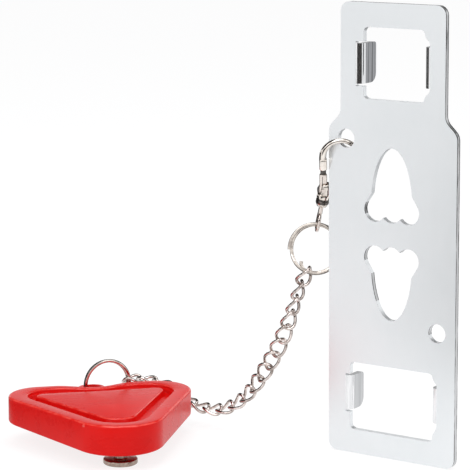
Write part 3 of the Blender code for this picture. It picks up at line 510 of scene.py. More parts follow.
class Thread:
    """A socket in a material's node tree, for sums written as expressions."""

    def __init__(self, tree, socket=None):
        self.tree = tree
        self.socket = socket

    def node(self, kind, settings=None, values=None, output=0):
        """Add any node: its settings first, then the values or links of its sockets."""
        made = self.tree.nodes.new(kind)
        for name, value in (settings or {}).items():
            setattr(made, name, value)
        for name, value in (values or {}).items():
            feed(self.tree, made.inputs[name], value)
        return Thread(self.tree, made.outputs[output])

    def maths(self, operation, *numbers):
        """A Math node on numbers or threads."""
        return self.node("ShaderNodeMath", {"operation": operation}, dict(enumerate(numbers)))

    def vector(self, operation, *others, output=0):
        """A Vector Math node on this and others."""
        values = dict(enumerate((self, *others)))
        return self.node("ShaderNodeVectorMath", {"operation": operation}, values, output)

    def __add__(self, other):
        return self.maths("ADD", self, other)

    def __sub__(self, other):
        return self.maths("SUBTRACT", self, other)

    def __rsub__(self, other):
        return self.maths("SUBTRACT", other, self)

    def __mul__(self, other):
        return self.maths("MULTIPLY", self, other)

    def __abs__(self):
        return self.maths("ABSOLUTE", self)

    __radd__ = __add__
    __rmul__ = __mul__

    def between(self, low, high):
        """0 below low, 1 above high and smooth between."""
        sizes = {"Value": self, "From Min": low, "From Max": high}
        return self.node("ShaderNodeMapRange", {"interpolation_type": "SMOOTHSTEP"}, sizes)

    def mix(self, first, second):
        """Colour mix with this as the factor."""
        return self.node("ShaderNodeMix", {"data_type": "RGBA"}, {0: self, 6: first, 7: second}, 2)

    def parts(self):
        """The three coordinates of a place."""
        made = self.node("ShaderNodeSeparateXYZ", None, {0: self}).socket.node
        return [Thread(self.tree, socket) for socket in made.outputs]

    def stretched(self, stretch, turn=(0, 0, 0)):
        """A place stretched, so that a pattern on it runs in streaks."""
        sizes = {"Vector": self, "Scale": stretch, "Rotation": turn}
        return self.node("ShaderNodeMapping", {"vector_type": "TEXTURE"}, sizes)

    def noise(self, scale, detail=3.0, roughness=0.5):
        """A noise pattern over a place."""
        sizes = {"Vector": self, "Scale": scale, "Detail": detail, "Roughness": roughness}
        return self.node("ShaderNodeTexNoise", None, sizes)

    def bump(self, distance, strength):
        """A bumped normal with this as the height."""
        sizes = {"Height": self, "Distance": distance, "Strength": strength}
        return self.node("ShaderNodeBump", None, sizes)


def feed(tree, socket, value):
    """Link an expression to a socket, or set the socket's value."""
    if isinstance(value, Thread):
        tree.links.new(value.socket, socket)
    else:
        socket.default_value = value


def coated(material, values):
    """Feed a material's surface shader by the names of its sockets."""
    surface = material.node_tree.nodes["Principled BSDF"]
    for name, value in values.items():
        feed(material.node_tree, surface.inputs[name], value)
    return material


def new_finish(name, metallic, roughness, colour):
    """A new material and its object coordinates."""
    material = bpy.data.materials.new(name)
    material.use_nodes = True
    coated(material, {"Metallic": metallic, "Roughness": roughness, "Base Color": colour})
    return material, Thread(material.node_tree).node("ShaderNodeTexCoord", output="Object")


def plated_steel():
    """Bright zinc plate with faint smudges."""
    material, place = new_finish("plated_steel", 0.6, 0.3, (0.8, 0.8, 0.8, 1))
    clouds = place.noise(38.0)
    smudge = place.stretched((1, 1, 3)).noise(220.0, 5.0)
    tone = (clouds * 0.7 + smudge * 0.3).between(0.30, 0.72)
    return coated(material, {
        "Base Color": tone.mix((0.845, 0.875, 0.89, 1), (0.885, 0.91, 0.925, 1)),
        "Roughness": 0.27 + smudge * 0.06,
        "Normal": (clouds * 0.6 + smudge * 0.1).bump(0.00002, 0.3),
    })


def sheared_steel_and_reflection():
    """The punched edge: dark streaks along the rim with bright burnished patches, lighter towards the
    plate's lower end; its dark tone and its darker bands by the front and back faces are partly the edge's
    own and partly painted dark reflection.
    """
    material, place = new_finish("sheared_steel_and_reflection", 1.0, 0.35, (0.3, 0.3, 0.3, 1))
    depth, height = place.parts()[1:]
    streak = place.stretched((1, 1, 9)).noise(1700.0, 3.0, 0.6)
    patch = place.stretched((1, 1, 4)).noise(420.0, 2.0)
    # Lighter towards the plate's lower end
    lighter_low = (1 - height.between(-0.030, 0.020)) * 0.10
    # Painted dark reflection, partly the edge's own zones: darker near the front and back faces than at
    # mid-thickness
    from_middle = abs(depth + PLATE_THICKNESS * 0.5)
    painted_reflection_band = from_middle.between(PLATE_THICKNESS * 0.16, PLATE_THICKNESS * 0.40) * 0.26
    # The dark tone is partly the sheared steel's own and partly painted dark reflection
    tone = (streak * 0.55 + patch * 0.45 + 0.10 + lighter_low - painted_reflection_band).between(0.42, 0.60)
    return coated(material, {
        "Base Color": tone.mix((0.05, 0.05, 0.053, 1), (0.62, 0.63, 0.64, 1)),
        "Roughness": 0.26 + streak * 0.16,
        "Normal": (streak + depth * 200.0).bump(0.00003, 0.5),
    })


def rolled_steel():
    """The plate's rolled-over edges and the claws' bends, polished by the tool."""
    material, place = new_finish("rolled_steel", 1.0, 0.1, (0.84, 0.85, 0.86, 1))
    scuff = place.stretched((1, 1, 9)).noise(1200.0, 3.0, 0.6)
    return coated(material, {
        "Base Color": scuff.between(0.3, 0.7).mix((0.76, 0.77, 0.78, 1), (0.90, 0.90, 0.91, 1)),
        "Roughness": 0.06 + scuff * 0.08,
        "Normal": scuff.bump(0.00001, 0.4),
    })


def drawn_steel_and_reflection():
    """The bent claws: drawn lines along the bend, duller than the flat sheet, the upper claws darker by a
    painted dark reflection.
    """
    material, place = new_finish("drawn_steel_and_reflection", 1.0, 0.3, (0.5, 0.5, 0.5, 1))
    draw = place.stretched((1, 1, 60)).noise(1400.0, 3.0, 0.6)
    # Painted dark reflection: the claws of the upper window are darker than the lower ones
    painted_dark_upper = place.parts()[2].between(-0.002, 0.002)
    dark = painted_dark_upper.mix((0.50, 0.51, 0.52, 1), (0.20, 0.205, 0.215, 1))
    pale = painted_dark_upper.mix((0.62, 0.63, 0.64, 1), (0.46, 0.47, 0.49, 1))
    return coated(material, {
        "Base Color": draw.between(0.36, 0.66).mix(dark, pale),
        "Roughness": 0.24 + draw * 0.16,
        "Normal": draw.bump(0.00003, 0.5),
    })


def nickel(name, colour, dark, roughness, ripple):
    """Nickel plate or spring steel, clouded between two tones."""
    material, place = new_finish(name, 1.0, roughness, colour)
    clouds = place.noise(420.0)
    fine = place.noise(1600.0)
    return coated(material, {
        "Base Color": (clouds * 0.8 + fine * 0.2).between(0.34, 0.62).mix(dark, colour),
        "Roughness": roughness - 0.03 + fine * 0.06,
        "Normal": clouds.bump(ripple, 0.4),
    })


def turned_nickel(axis_at):
    """Dark nickel with the fine rings that a lathe leaves round the stud's axis."""
    material, place = new_finish("turned_nickel", 1.0, 0.28, (0.40, 0.33, 0.29, 1))
    across, along, height = place.parts()
    x = across - axis_at.x
    y = along - axis_at.y
    squares = x * x + y * y
    phase = squares.maths("SQRT", squares) * 26000.0 + height * 30000.0
    rings = phase.maths("SINE", phase)
    clouds = place.noise(500.0, 4.0)
    return coated(material, {
        "Base Color": clouds.between(0.3, 0.7).mix((0.26, 0.20, 0.17, 1), (0.50, 0.41, 0.35, 1)),
        "Roughness": 0.18 + clouds * 0.08,
        "Normal": (rings * 0.4 + clouds * 0.3).bump(0.000006, 0.4),
    })


def red_plastic():
    """Moulded red plastic: a satin skin with faint flow streaks."""
    material, place = new_finish("red_plastic", 0.0, 0.30, (0.78, 0.006, 0.004, 1))
    flow = place.stretched((3.5, 1, 1), (0, 0, WEDGE_TURN)).noise(180.0, 5.0, 0.6)
    skin = place.noise(3200.0, 3.0, 0.6)
    clouds = place.noise(45.0, 2.0)
    tone = (flow * 0.5 + clouds * 0.5).between(0.30, 0.70)
    return coated(material, {
        "IOR": 1.45,
        "Specular IOR Level": 0.2,
        "Base Color": tone.mix((0.69, 0.004, 0.003, 1), (0.80, 0.006, 0.004, 1)),
        "Roughness": 0.19 + flow * 0.16 + skin * 0.03,
        "Normal": (flow * 0.7 + skin * 0.3).bump(0.000025, 0.5),
    })


def painted_highlight_red():
    """The same plastic, paler and smoother along the rims: a painted highlight."""
    material, place = new_finish("painted_highlight_red", 0.0, 0.2, (0.86, 0.06, 0.045, 1))
    highlight_tone = place.noise(260.0, 4.0, 0.6)
    return coated(material, {
        "IOR": 1.5,
        "Base Color": highlight_tone.between(0.35, 0.65).mix((0.80, 0.015, 0.010, 1), (0.90, 0.085, 0.065, 1)),
        "Roughness": 0.14 + highlight_tone * 0.14,
    })


def dress(piece, material, body, node):
    """Give a piece its material, its body and the node that it stands for."""
    piece.data.materials.clear()
    piece.data.materials.append(material)
    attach(piece, body)
    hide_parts(node)


# The strike plate

def make_plate():
    """The plate's own solid as one clean shell, its windows eased and its sheared edges rolled over."""
    plate = new_piece("plate_sheet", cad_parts["strike_plate"].data.copy())
    tidy(plate, SHEET_MERGE)
    edit(plate, bpy.ops.mesh.dissolve_limited, angle_limit=SHEET_LEVEL)
    for (low, high, _), (edge, reach, below, above) in zip(CLAWS, RELIEFS):
        cut(plate, make_relief(edge, reach, high, above))
        cut(plate, make_relief(edge, reach, low, -below))
    bevel(tidy(plate), RIM_ROUND, 2, 50)
    smooth(plate, 50)
    modify(plate, "WEIGHTED_NORMAL", mode="FACE_AREA", weight=100, keep_sharp=True)
    dress(plate, plated_steel(), "plate", "strike_plate")
    for finish in (sheared_steel_and_reflection(), drawn_steel_and_reflection(), rolled_steel()):
        plate.data.materials.append(finish)
    for face in plate.data.polygons:
        face.material_index = plate_finish(face.center, face.normal)


def make_relief(edge, reach, end, length):
    """A cutter for the curve that eases a window's right side into one end of its claw's slot."""
    outline = [(edge - RELIEF_PAST, end), (reach - RELIEF_SHY, end)]
    for i in range(1, RELIEF_STEPS):
        share = (1 - cos(pi * i / RELIEF_STEPS)) / 2
        outline.append((reach - (reach - edge) * share, end + length * i / RELIEF_STEPS))
    outline.append((edge - RELIEF_PAST, end + length))
    return slab("relief", outline, -PLATE_THICKNESS, PLATE_THICKNESS * 2, 0, rotated(pi / 2, "X"))


def plate_finish(middle, facing):
    """Which of its four finishes a face of the plate has."""
    if on_bend(middle, facing) and middle.y < BEND_ENDS[middle.z < 0]:
        return ROLLED if abs(facing.x) > BEND_FACING else FLAT
    if middle.y > -SHEET_SKIN:
        return DRAWN if abs(facing.x) > CLAW_FACING or middle.y > SHEET_SKIN else FLAT
    side = abs(middle.x) > OUTLINE_SIDE and middle.x * facing.x > 0
    end = abs(middle.z) > OUTLINE_END and middle.z * facing.z > 0
    if abs(facing.y) > LEVEL_FACING:
        return FLAT
    # Painted dark reflection: rims that face right, along the windows' left edges, and the outline's rim
    # that faces left up the neck take the dark sheared finish; the other rims stay bright
    if abs(facing.y) > RIM_FACING:
        if not (side or end):
            return SHEARED if facing.x > RIM_FACING else ROLLED
        return SHEARED if facing.x < -NECK_FACING and middle.z > NECK_FOOT else FLAT
    if side or end:
        return SHEARED
    if abs(middle.z) > KEYHOLE_END:
        return FLAT
    left_wall = facing.x > WALL_FACING and facing.z < LOBE_FACING and middle.z < LOBE_TOP
    low_wall = facing.z > WALL_FACING and facing.x < 0
    return SHEARED if left_wall or low_wall else FLAT


def on_bend(middle, facing):
    """Whether a face lies where a claw bends out of the sheet."""
    out = abs(middle.x)
    return abs(facing.z) < CLAW_END_FACING and any(
        low < middle.z < high and reach - BEND_REACH < out < reach + BEND_SPARE
        for low, high, reach in CLAWS
    )


# The snap

def snap_frame():
    """The snap's own frame: leaned and slanted, with its hook through the plate's left round hole."""
    turn = rotated(SNAP_TURN, "Z") @ rotated(SNAP_LEAN, "X") @ rotated(SNAP_SLANT, "Y")
    hole = Vector((-HOLE_SIDE - SNAP_HOLE_SHIFT, -PLATE_THICKNESS / 2, HOLE_HEIGHT - SNAP_HOLE_DROP))
    across = HOOK_SIDE + HOOK_RADIUS * cos(HOOK_TURN)
    up = HOOK_HEIGHT + HOOK_RADIUS * sin(HOOK_TURN)
    return Matrix.Translation(hole - turn @ Vector((across, 0, up))) @ turn


def nose_end():
    """The end of the hook's nose, across and up."""
    return Vector((HOOK_SIDE - HOOK_RADIUS + NOSE_LEAN, HOOK_HEIGHT - NOSE_LENGTH))


def bent(first, knee, last, steps):
    """Points of a quadratic bend, its last one left out."""
    return [
        tuple((1 - t) ** 2 * a + 2 * t * (1 - t) * b + t * t * c for a, b, c in zip(first, knee, last))
        for t in (i / steps for i in range(steps))
    ]


def snap_wire(at):
    """The spine, the hook and the nose as one wire, thinner round the hook."""
    foot = (SPINE_FOOT_SIDE, JAW_HEIGHT / 2)
    hook = arc((HOOK_SIDE, HOOK_HEIGHT), HOOK_RADIUS, 0, pi, HOOK_STEPS)
    knee = (hook[0][0], foot[1] + (hook[0][1] - foot[1]) / 3)
    spine = bent(foot, knee, hook[0], 18)
    nose = tuple(nose_end())
    nose_knee = (hook[-1][0], hook[-1][1] - NOSE_LENGTH / 3)
    nose_run = bent(hook[-1], nose_knee, nose, 12)[1:] + [nose]
    thin = HOOK_WIRE / SPINE_WIRE
    round_hook = [1 - (1 - thin) * sin(pi * i / HOOK_STEPS) for i in range(HOOK_STEPS + 1)]
    shares = [1.0] * len(spine) + round_hook + [1.0] * len(nose_run)
    points = [(x, 0, z) for x, z in spine + hook + nose_run]
    return wire("snap_hook", points, SPINE_WIRE, False, at, shares, around=7)


def collar_profile():
    """The collar from its rounded top over its groove down to its tapered foot."""
    r = COLLAR_RADIUS
    step = COLLAR_STEP
    groove = -COLLAR_HEIGHT / 3
    taper = groove * 2
    return [
        (r - COLLAR_EDGE, 0),
        (r - COLLAR_EDGE * 0.3, -COLLAR_EDGE * 0.3),
        (r, -COLLAR_EDGE),
        (r, groove + step),
        (r - step, groove),
        (r - step * 3, groove - step),
        (r - step * 3, groove - step * 7),
        (r - step, groove - step * 8),
        (r, groove - step * 9),
        (r, taper - step * 3),
        (r - step * 0.8, taper - step * 5),
        (COLLAR_FOOT_RADIUS + step, -COLLAR_HEIGHT + step),
        (COLLAR_FOOT_RADIUS - step, -COLLAR_HEIGHT),
    ]


def make_snap(at, material, dark):
    """The snap's body: wire, jaw, collar and nose block joined, then slotted and bored."""
    body = snap_wire(at)
    jaw = (JAW_WIDTH, JAW_THICKNESS, JAW_HEIGHT + JAW_ROOT)
    jaw_at = at @ shifted(JAW_SIDE, 0, (JAW_HEIGHT - JAW_ROOT) / 2)
    cut(body, block("jaw", jaw, JAW_ROUND, jaw_at), "UNION")
    cut(body, turned("collar", collar_profile(), 48, at), "UNION")
    slot_height = JAW_HEIGHT + CUT_PAST
    slot_width = JAW_SLOT_END + JAW_WIDTH / 2 + CUT_PAST
    slot_at = at @ shifted(JAW_SLOT_END - slot_width / 2, 0, JAW_FLOOR + slot_height / 2)
    cut(body, block("gate_slot", (slot_width, JAW_SLOT, slot_height), 0, slot_at))
    bore_ends = (-COLLAR_HEIGHT - CUT_PAST, -COLLAR_HEIGHT + STEM_BORE_DEPTH)
    cut(body, turned("stem_bore", [(STEM_BORE_RADIUS, height) for height in bore_ends], 32, at))
    nose = nose_end()
    nose_at = at @ shifted(nose.x, 0, nose.y) @ rotated(-atan2(NOSE_LEAN, NOSE_LENGTH), "Y")
    nose_block_at = nose_at @ shifted(0, 0, NOSE_BLOCK[2] / 2)
    cut(body, block("nose_block", NOSE_BLOCK, NOSE_ROUND, nose_block_at), "UNION")
    cut(body, block("nose_notch", NOSE_NOTCH, 0, nose_at))
    cheek_line = (GATE_FOLD_WIDTH, GATE_FOLD_DEPTH * 2, JAW_HEIGHT - CHEEK_LINE_SHORT)
    for side in (-1, 1):
        line_at = at @ shifted(GATE_PIVOT[0] - GATE_FOLD_SIDE, side * JAW_THICKNESS / 2, JAW_HEIGHT / 2)
        cut(body, block("cheek_line", cheek_line, 0, line_at))
    bevel(tidy(body), SNAP_EDGE, 2, 50)
    smooth(body, 40)
    dress(body, material, "snap", "snap_body")

    def in_band(middle, facing):
        low, high = COLLAR_BAND
        return low < middle.z < high and hypot(middle.x, middle.y) > COLLAR_RADIUS * 0.8

    mark(body, at, dark, in_band)


def make_gate(at, material, dark):
    """The gate: a folded strip with a thin tip and a dark thumb lever, its tip and fold grooves in painted
    shade.
    """
    nose = nose_end()
    base = Vector(GATE_PIVOT)
    along = (nose - base).normalized()
    across = Vector((along.y, -along.x))
    half = GATE_WIDTH / 2
    top = nose - along * (GATE_NOSE_GAP + GATE_TIP)
    length = (top - base).length
    lever_tip = base - across * (half + LEVER_LENGTH) - along * LEVER_WIDTH / 2
    corners = [
        base - across * half - along * LEVER_WIDTH,
        lever_tip - along * LEVER_WIDTH / 2,
        lever_tip + along * LEVER_WIDTH / 2,
        base - across * half + along * half,
        top - across * half,
        top + across * half,
        base - along * half + across * half,
    ]
    outline = rounded(corners, GATE_ROUND, 4)
    flat = at @ rotated(pi / 2, "X")
    gate = slab("gate_strip", outline, -GATE_THICKNESS / 2, GATE_THICKNESS / 2, GATE_EDGE, flat)

    def along_gate(spot, depth):
        return at @ shifted(spot.x, depth, spot.y) @ rotated(atan2(along.x, along.y), "Y")

    tip = (GATE_WIDTH * GATE_TIP_SHARE, GATE_TIP_THICKNESS, GATE_TIP + GATE_TIP_ROOT * 2)
    tip_at = along_gate(top + along * (GATE_TIP / 2 - GATE_TIP_ROOT), 0)
    cut(gate, block("gate_tip", tip, GATE_TIP_ROUND, tip_at), "UNION")
    fold = (GATE_FOLD_WIDTH, GATE_FOLD_DEPTH * 2, length - GATE_FOLD_SHORT)
    fold_middle = base + along * (fold[2] / 2 + GATE_FOLD_FOOT) - across * GATE_FOLD_SIDE
    for side in (-1, 1):
        cut(gate, block("gate_fold", fold, 0, along_gate(fold_middle, side * GATE_THICKNESS / 2)))
    tidy(gate)
    split_at = at @ Vector((base.x - across.x * half, 0, base.y - across.y * half))
    split_facing = at.to_3x3() @ Vector((across.x, 0, across.y))
    edit(gate, bpy.ops.mesh.bisect, plane_co=split_at, plane_no=split_facing)
    smooth(gate, 35)
    dress(gate, material, "gate", "snap_gate")

    # The lever is dark steel; the tip and the sunk faces of the fold grooves take it as painted shade
    def lever_and_painted_shade(middle, facing):
        spot = Vector((middle.x, middle.z)) - base
        side = spot.dot(across)
        on_lever = side < -half - GATE_SLACK * 0.4
        shaded_tip = spot.dot(along) > length + GATE_SLACK
        near_fold = abs(side + GATE_FOLD_SIDE) < GATE_FOLD_WIDTH * 0.6
        sunk = GATE_THICKNESS / 4 < abs(middle.y) < GATE_THICKNESS / 2 - GATE_SLACK
        return on_lever or shaded_tip or (near_fold and sunk)

    mark(gate, at, dark, lever_and_painted_shade)


def make_rivet(at, material):
    """The gate's rivet, with a low domed head at each cheek."""
    cheek = JAW_THICKNESS / 2
    end = [
        (RIVET_RADIUS, cheek),
        (RIVET_HEAD_RADIUS, cheek),
        (RIVET_HEAD_RADIUS * 0.85, cheek + RIVET_HEAD_HEIGHT * 0.65),
        (RIVET_HEAD_RADIUS * 0.55, cheek + RIVET_HEAD_HEIGHT),
    ]
    profile = [(radius, -height) for radius, height in reversed(end)] + end
    pivot = at @ shifted(GATE_PIVOT[0], 0, GATE_PIVOT[1]) @ rotated(pi / 2, "X")
    rivet = smooth(turned("gate_rivet_pin", profile, 24, pivot), 50)
    dress(rivet, material, "snap", "gate_rivet")


def make_spring(at, material):
    """The gate's coil spring, in the jaw's slot."""
    points = []
    for i in range(int(SPRING_TURNS * SPRING_STEPS) + 1):
        angle = 2 * pi * i / SPRING_STEPS
        x = JAW_SLOT_END - 2 * SPRING_WIRE - SPRING_PITCH * i / SPRING_STEPS
        points.append((x, SPRING_RADIUS * cos(angle), SPRING_RADIUS * sin(angle)))
    lift = at @ shifted(0, 0, JAW_HEIGHT - SPRING_RADIUS)
    spring = smooth(wire("gate_coil", points, SPRING_WIRE, False, lift, around=2), 60)
    dress(spring, material, "snap", "gate_spring")


def make_eye(at, material):
    """The swivel eye: an upright wire loop on a stem that turns in the collar's bore."""
    bend = EYE_WIDTH / 2 - EYE_WIRE
    high = EYE_LENGTH - EYE_WIRE * 2 - EYE_DROP - bend
    loop = arc((0, bend - EYE_DROP), bend, -pi, 0, EYE_STEPS)
    loop += arc((0, high), bend, 0, pi, EYE_STEPS)
    eye = wire("eye_loop", [(0, y, z) for y, z in loop], EYE_WIRE, True, at)
    foot = high + bend
    stem = [
        (STEM_RADIUS, -COLLAR_HEIGHT + STEM_BORE_DEPTH - STEM_STEP),
        (STEM_RADIUS, foot + STEM_STEP * 2),
        (STEM_RADIUS * 1.05, foot + STEM_STEP),
        (STEM_RADIUS * 0.9, foot - STEM_STEP),
    ]
    cut(eye, turned("eye_stem", stem, EYE_STEPS, at), "UNION")
    smooth(tidy(eye), 45)
    dress(eye, material, "eye", "swivel_eye")


# The split rings

def flat_section():
    """A rounded strip, wider across the ring than along its axis."""
    points = []
    for i in range(STRIP_STEPS):
        across, along = squared(2 * pi * i / STRIP_STEPS, STRIP_SQUARENESS)
        points.append((RING_WIRE * across, RING_TURN_HALF * along, 0))
    return outline_curve("strip_section", points, "2D", True)


def ring_height(turn):
    """How far along its axis the coil lies: flat, one climb, flat."""
    share = min(1, max(0, (turn - 1 + RING_CLIMB_SHARE) / (2 * RING_CLIMB_SHARE)))
    return (share * share * (3 - 2 * share) - 0.5) * 2 * (RING_HALF_HEIGHT - RING_TURN_HALF)


def make_ring(names, at, section, material, dark, flare=0.0):
    """A split ring: nearly two turns of strip, one end tucked in and the other one flared out, its outward
    faces in a painted dark reflection.
    """
    name, body, node = names
    first, last = RING_START_SHARE, 2 - RING_START_SHARE
    points = []
    for i in range(RING_STEPS + 1):
        turn = first + (last - first) * i / RING_STEPS
        angle = 2 * pi * turn + RING_SPLIT_ANGLE
        tuck = max(0, 1 - (turn - first) / RING_TUCK_SHARE)
        spread = max(0, 1 - (last - turn) / RING_FLARE_SHARE)
        radius = RING_RADIUS - RING_TUCK_DEPTH * tuck * tuck + flare * spread * spread * (3 - 2 * spread)
        radius += RING_TURN_STEP * ring_height(turn) / (RING_HALF_HEIGHT - RING_TURN_HALF)
        points.append((radius * cos(angle), radius * sin(angle), ring_height(turn)))
    ring = smooth(wire(name, points, RING_WIRE, False, at, section=section), 40)
    dress(ring, material, body, node)

    # Painted dark reflection along the ring's outward faces
    def painted_dark_edge(middle, facing):
        outward = middle.x * facing.x + middle.y * facing.y
        return outward / hypot(middle.x, middle.y) > RING_PAINTED_EDGE_FROM

    mark(ring, at, dark, painted_dark_edge)


# The chain

def smooth_route(places, steps):
    """Points of a Catmull-Rom curve through the places."""
    padded = [2 * places[0] - places[1]] + places + [2 * places[-1] - places[-2]]
    points = []
    for i in range(1, len(padded) - 2):
        before, here, there, after = padded[i - 1:i + 3]
        for k in range(steps):
            t = k / steps
            point = 2 * here + (there - before) * t
            point = point + (2 * before - 5 * here + 4 * there - after) * t * t
            point = point + (3 * here - before - 3 * there + after) * t ** 3
            points.append(point / 2)
    points.append(places[-1])
    return points


def highest(low, high, holds):
    """The highest value between two for which a rule holds."""
    for _ in range(50):
        middle = (low + high) / 2
        if holds(middle):
            low = middle
        else:
            high = middle
    return low


def walk(points, chord, count):
    """Places one chord apart along a route, or nothing where the route is too short for them."""
    places = [points[0]]
    index = 1
    for _ in range(count):
        here = places[-1]
        while index < len(points) and (points[index] - here).length < chord:
            index += 1
        if index == len(points):
            return None
        back, ahead = points[index - 1], points[index]
        share = highest(0, 1, lambda t: (back.lerp(ahead, t) - here).length < chord)
        places.append(back.lerp(ahead, share))
    return places


def chain_places(start, end):
    """Where each two links touch, from the upper ring to the lower one, and their pitch."""
    span = end - start
    level = Vector((span.x, span.y, 0))
    side = Vector((-span.y, span.x, 0))
    places = [start + level * a - side * b + UP * span.z * c for a, b, c in CHAIN_ROUTE_SHARES]
    route = smooth_route(places, ROUTE_STEPS)
    share = span.length / LINK_COUNT
    pitch = highest(0.3 * share, 3 * share, lambda size: walk(route, size, LINK_COUNT))
    touches = walk(route, pitch, LINK_COUNT)
    touches[-1] = route[-1]
    return touches, pitch


def make_chain(touches, pitch, material):
    """One twisted link, copied down the chain, each copy with its own mesh."""
    half_length = pitch / 2 + LINK_WIRE + LINK_GAP / 2
    half_width = LINK_WIDTH / 2 - LINK_WIRE
    power = 2 / LINK_SQUARENESS
    points = []
    for i in range(LINK_STEPS):
        along, across = squared(2 * pi * i / LINK_STEPS, power)
        x = half_length * along
        y = half_width * across
        turn = LINK_TWIST * x / half_length
        points.append((x, y * cos(turn), y * sin(turn)))
    first = smooth(wire("link_pattern", points, LINK_WIRE, True, Matrix.Identity(4), around=4), 60)
    facing = Matrix.Rotation(SNAP_TURN, 3, "Z") @ Vector((0, -1, 0))
    for i in range(LINK_COUNT):
        along = (touches[i + 1] - touches[i]).normalized()
        face = (facing - facing.dot(along) * along).normalized()
        face.rotate(Matrix.Rotation(radians(LINK_ROLLS[i]), 3, along))
        at = Matrix((along, face.cross(along), face)).transposed().to_4x4()
        at.translation = (touches[i + 1] + touches[i]) / 2
        link = new_piece(f"twisted_link_{i + 1:02d}", first.data.copy())
        settle(link, at)
        dress(link, material, f"link_{i + 1:02d}", f"chain_link_{i + 1:02d}")
    bpy.data.objects.remove(first, do_unlink=True)


# The wedge and its stud

def hull(shape, inset, height, slope=0.0):
    """A rounded triangle round three circles, drawn in by an inset, and sloped up to its dipped back."""
    front_middle, front_radius, side_x, side_y, side_radius, dip = shape
    front = front_radius - inset
    side = side_radius - inset
    away = hypot(side_x, side_y - front_middle)
    bearing = atan2(side_y - front_middle, side_x)
    touch = bearing - acos((front - side) / away)
    right = arc((0, front_middle), front, -pi / 2, touch, FRONT_STEPS)
    right += arc((side_x, side_y), side, touch, pi / 2, SIDE_STEPS)
    back = side_y + side
    for i in range(1, BACK_STEPS + 1):
        x = min(side_x, DIP_HALF_WIDTH) * (1 - i / BACK_STEPS)
        right.append((x, back - dip * (1 + cos(pi * x / DIP_HALF_WIDTH)) / 2))
    outline = right + [(-x, y) for x, y in reversed(right[1:-1])]
    return [(x, y, height + y * slope) for x, y in outline]


def round_corner(shape, corner, first, last, steps, slope=0.0):
    """Outlines round a sharp corner, told as inset and height, from one place beside it to another."""
    outlines = []
    for k in range(steps + 1):
        angle = pi / 2 * k / steps
        to_first, to_last = 1 - sin(angle), 1 - cos(angle)
        inset, height = (c + f * to_first + t * to_last for c, f, t in zip(corner, first, last))
        outlines.append(hull(shape, inset, height, slope))
    return outlines


def wedge_outlines():
    """The wedge from its foot up its rim, down over the ledge into the groove and up onto the middle."""
    top = WEDGE_THICKNESS
    floor = top - GROOVE_DEPTH
    ledge = top - LEDGE_DROP
    rise = tan(WEDGE_UNDER_RISE)
    wall = LEDGE_WIDTH + WALL_LEAN * 3
    inner, fillet, edge = RIM_INNER_EDGE, MIDDLE_FOOT_EDGE, MIDDLE_EDGE
    outlines = round_corner(WEDGE_OUTLINE, (0, 0), (FOOT_EDGE, 0), (0, FOOT_EDGE), 4, rise)
    outlines += round_corner(WEDGE_OUTLINE, (0, top), (0, -RIM_EDGE), (RIM_EDGE, 0), 6)
    outlines += round_corner(GROOVE_OUTLINE, (0, top), (-inner, 0), (0, -inner), 4)
    outlines.append(hull(GROOVE_OUTLINE, WALL_LEAN, ledge))
    outlines.append(hull(GROOVE_OUTLINE, WALL_LEAN + LEDGE_WIDTH, ledge - WALL_LEAN))
    outlines.append(hull(GROOVE_OUTLINE, WALL_LEAN * 2 + LEDGE_WIDTH, ledge - WALL_LEAN * 3))
    outlines += round_corner(GROOVE_OUTLINE, (wall, floor), (0, inner), (inner, 0), 3)
    outlines += round_corner(MIDDLE_OUTLINE, (-MIDDLE_SLOPE, floor), (-fillet, 0), (0, fillet), 2)
    outlines += round_corner(MIDDLE_OUTLINE, (0, top - MIDDLE_DROP), (0, -edge), (edge, 0), 5)
    return outlines


def make_lug(at):
    """The lug behind the wedge, with the hole for its ring."""
    end = LUG_HOLE_BACK + LUG_HOLE_RADIUS + LUG_WALL - LUG_END_RADIUS
    side_y, side_radius, dip = WEDGE_OUTLINE[3:]
    inside = side_y + side_radius - dip - LUG_INSIDE
    left, right = LUG_SIDE - LUG_HALF_WIDTH, LUG_SIDE + LUG_HALF_WIDTH
    outline = [(left, inside), (right, inside)]
    outline += arc((right - LUG_END_RADIUS, end), LUG_END_RADIUS, 0, pi / 2, 10)
    outline += arc((left + LUG_END_RADIUS, end), LUG_END_RADIUS, pi / 2, pi, 10)
    high = WEDGE_THICKNESS - LUG_DROP
    lug = slab("lug", outline, high - LUG_THICKNESS, high, LUG_EDGE, at)
    hole_at = at @ shifted(LUG_SIDE, LUG_HOLE_BACK, high - LUG_THICKNESS / 2)
    hole = [(LUG_HOLE_RADIUS, -LUG_THICKNESS), (LUG_HOLE_RADIUS, LUG_THICKNESS)]
    cut(lug, turned("lug_hole", hole, 40, hole_at))
    return bevel(lug, LUG_HOLE_EDGE, 2, 70)


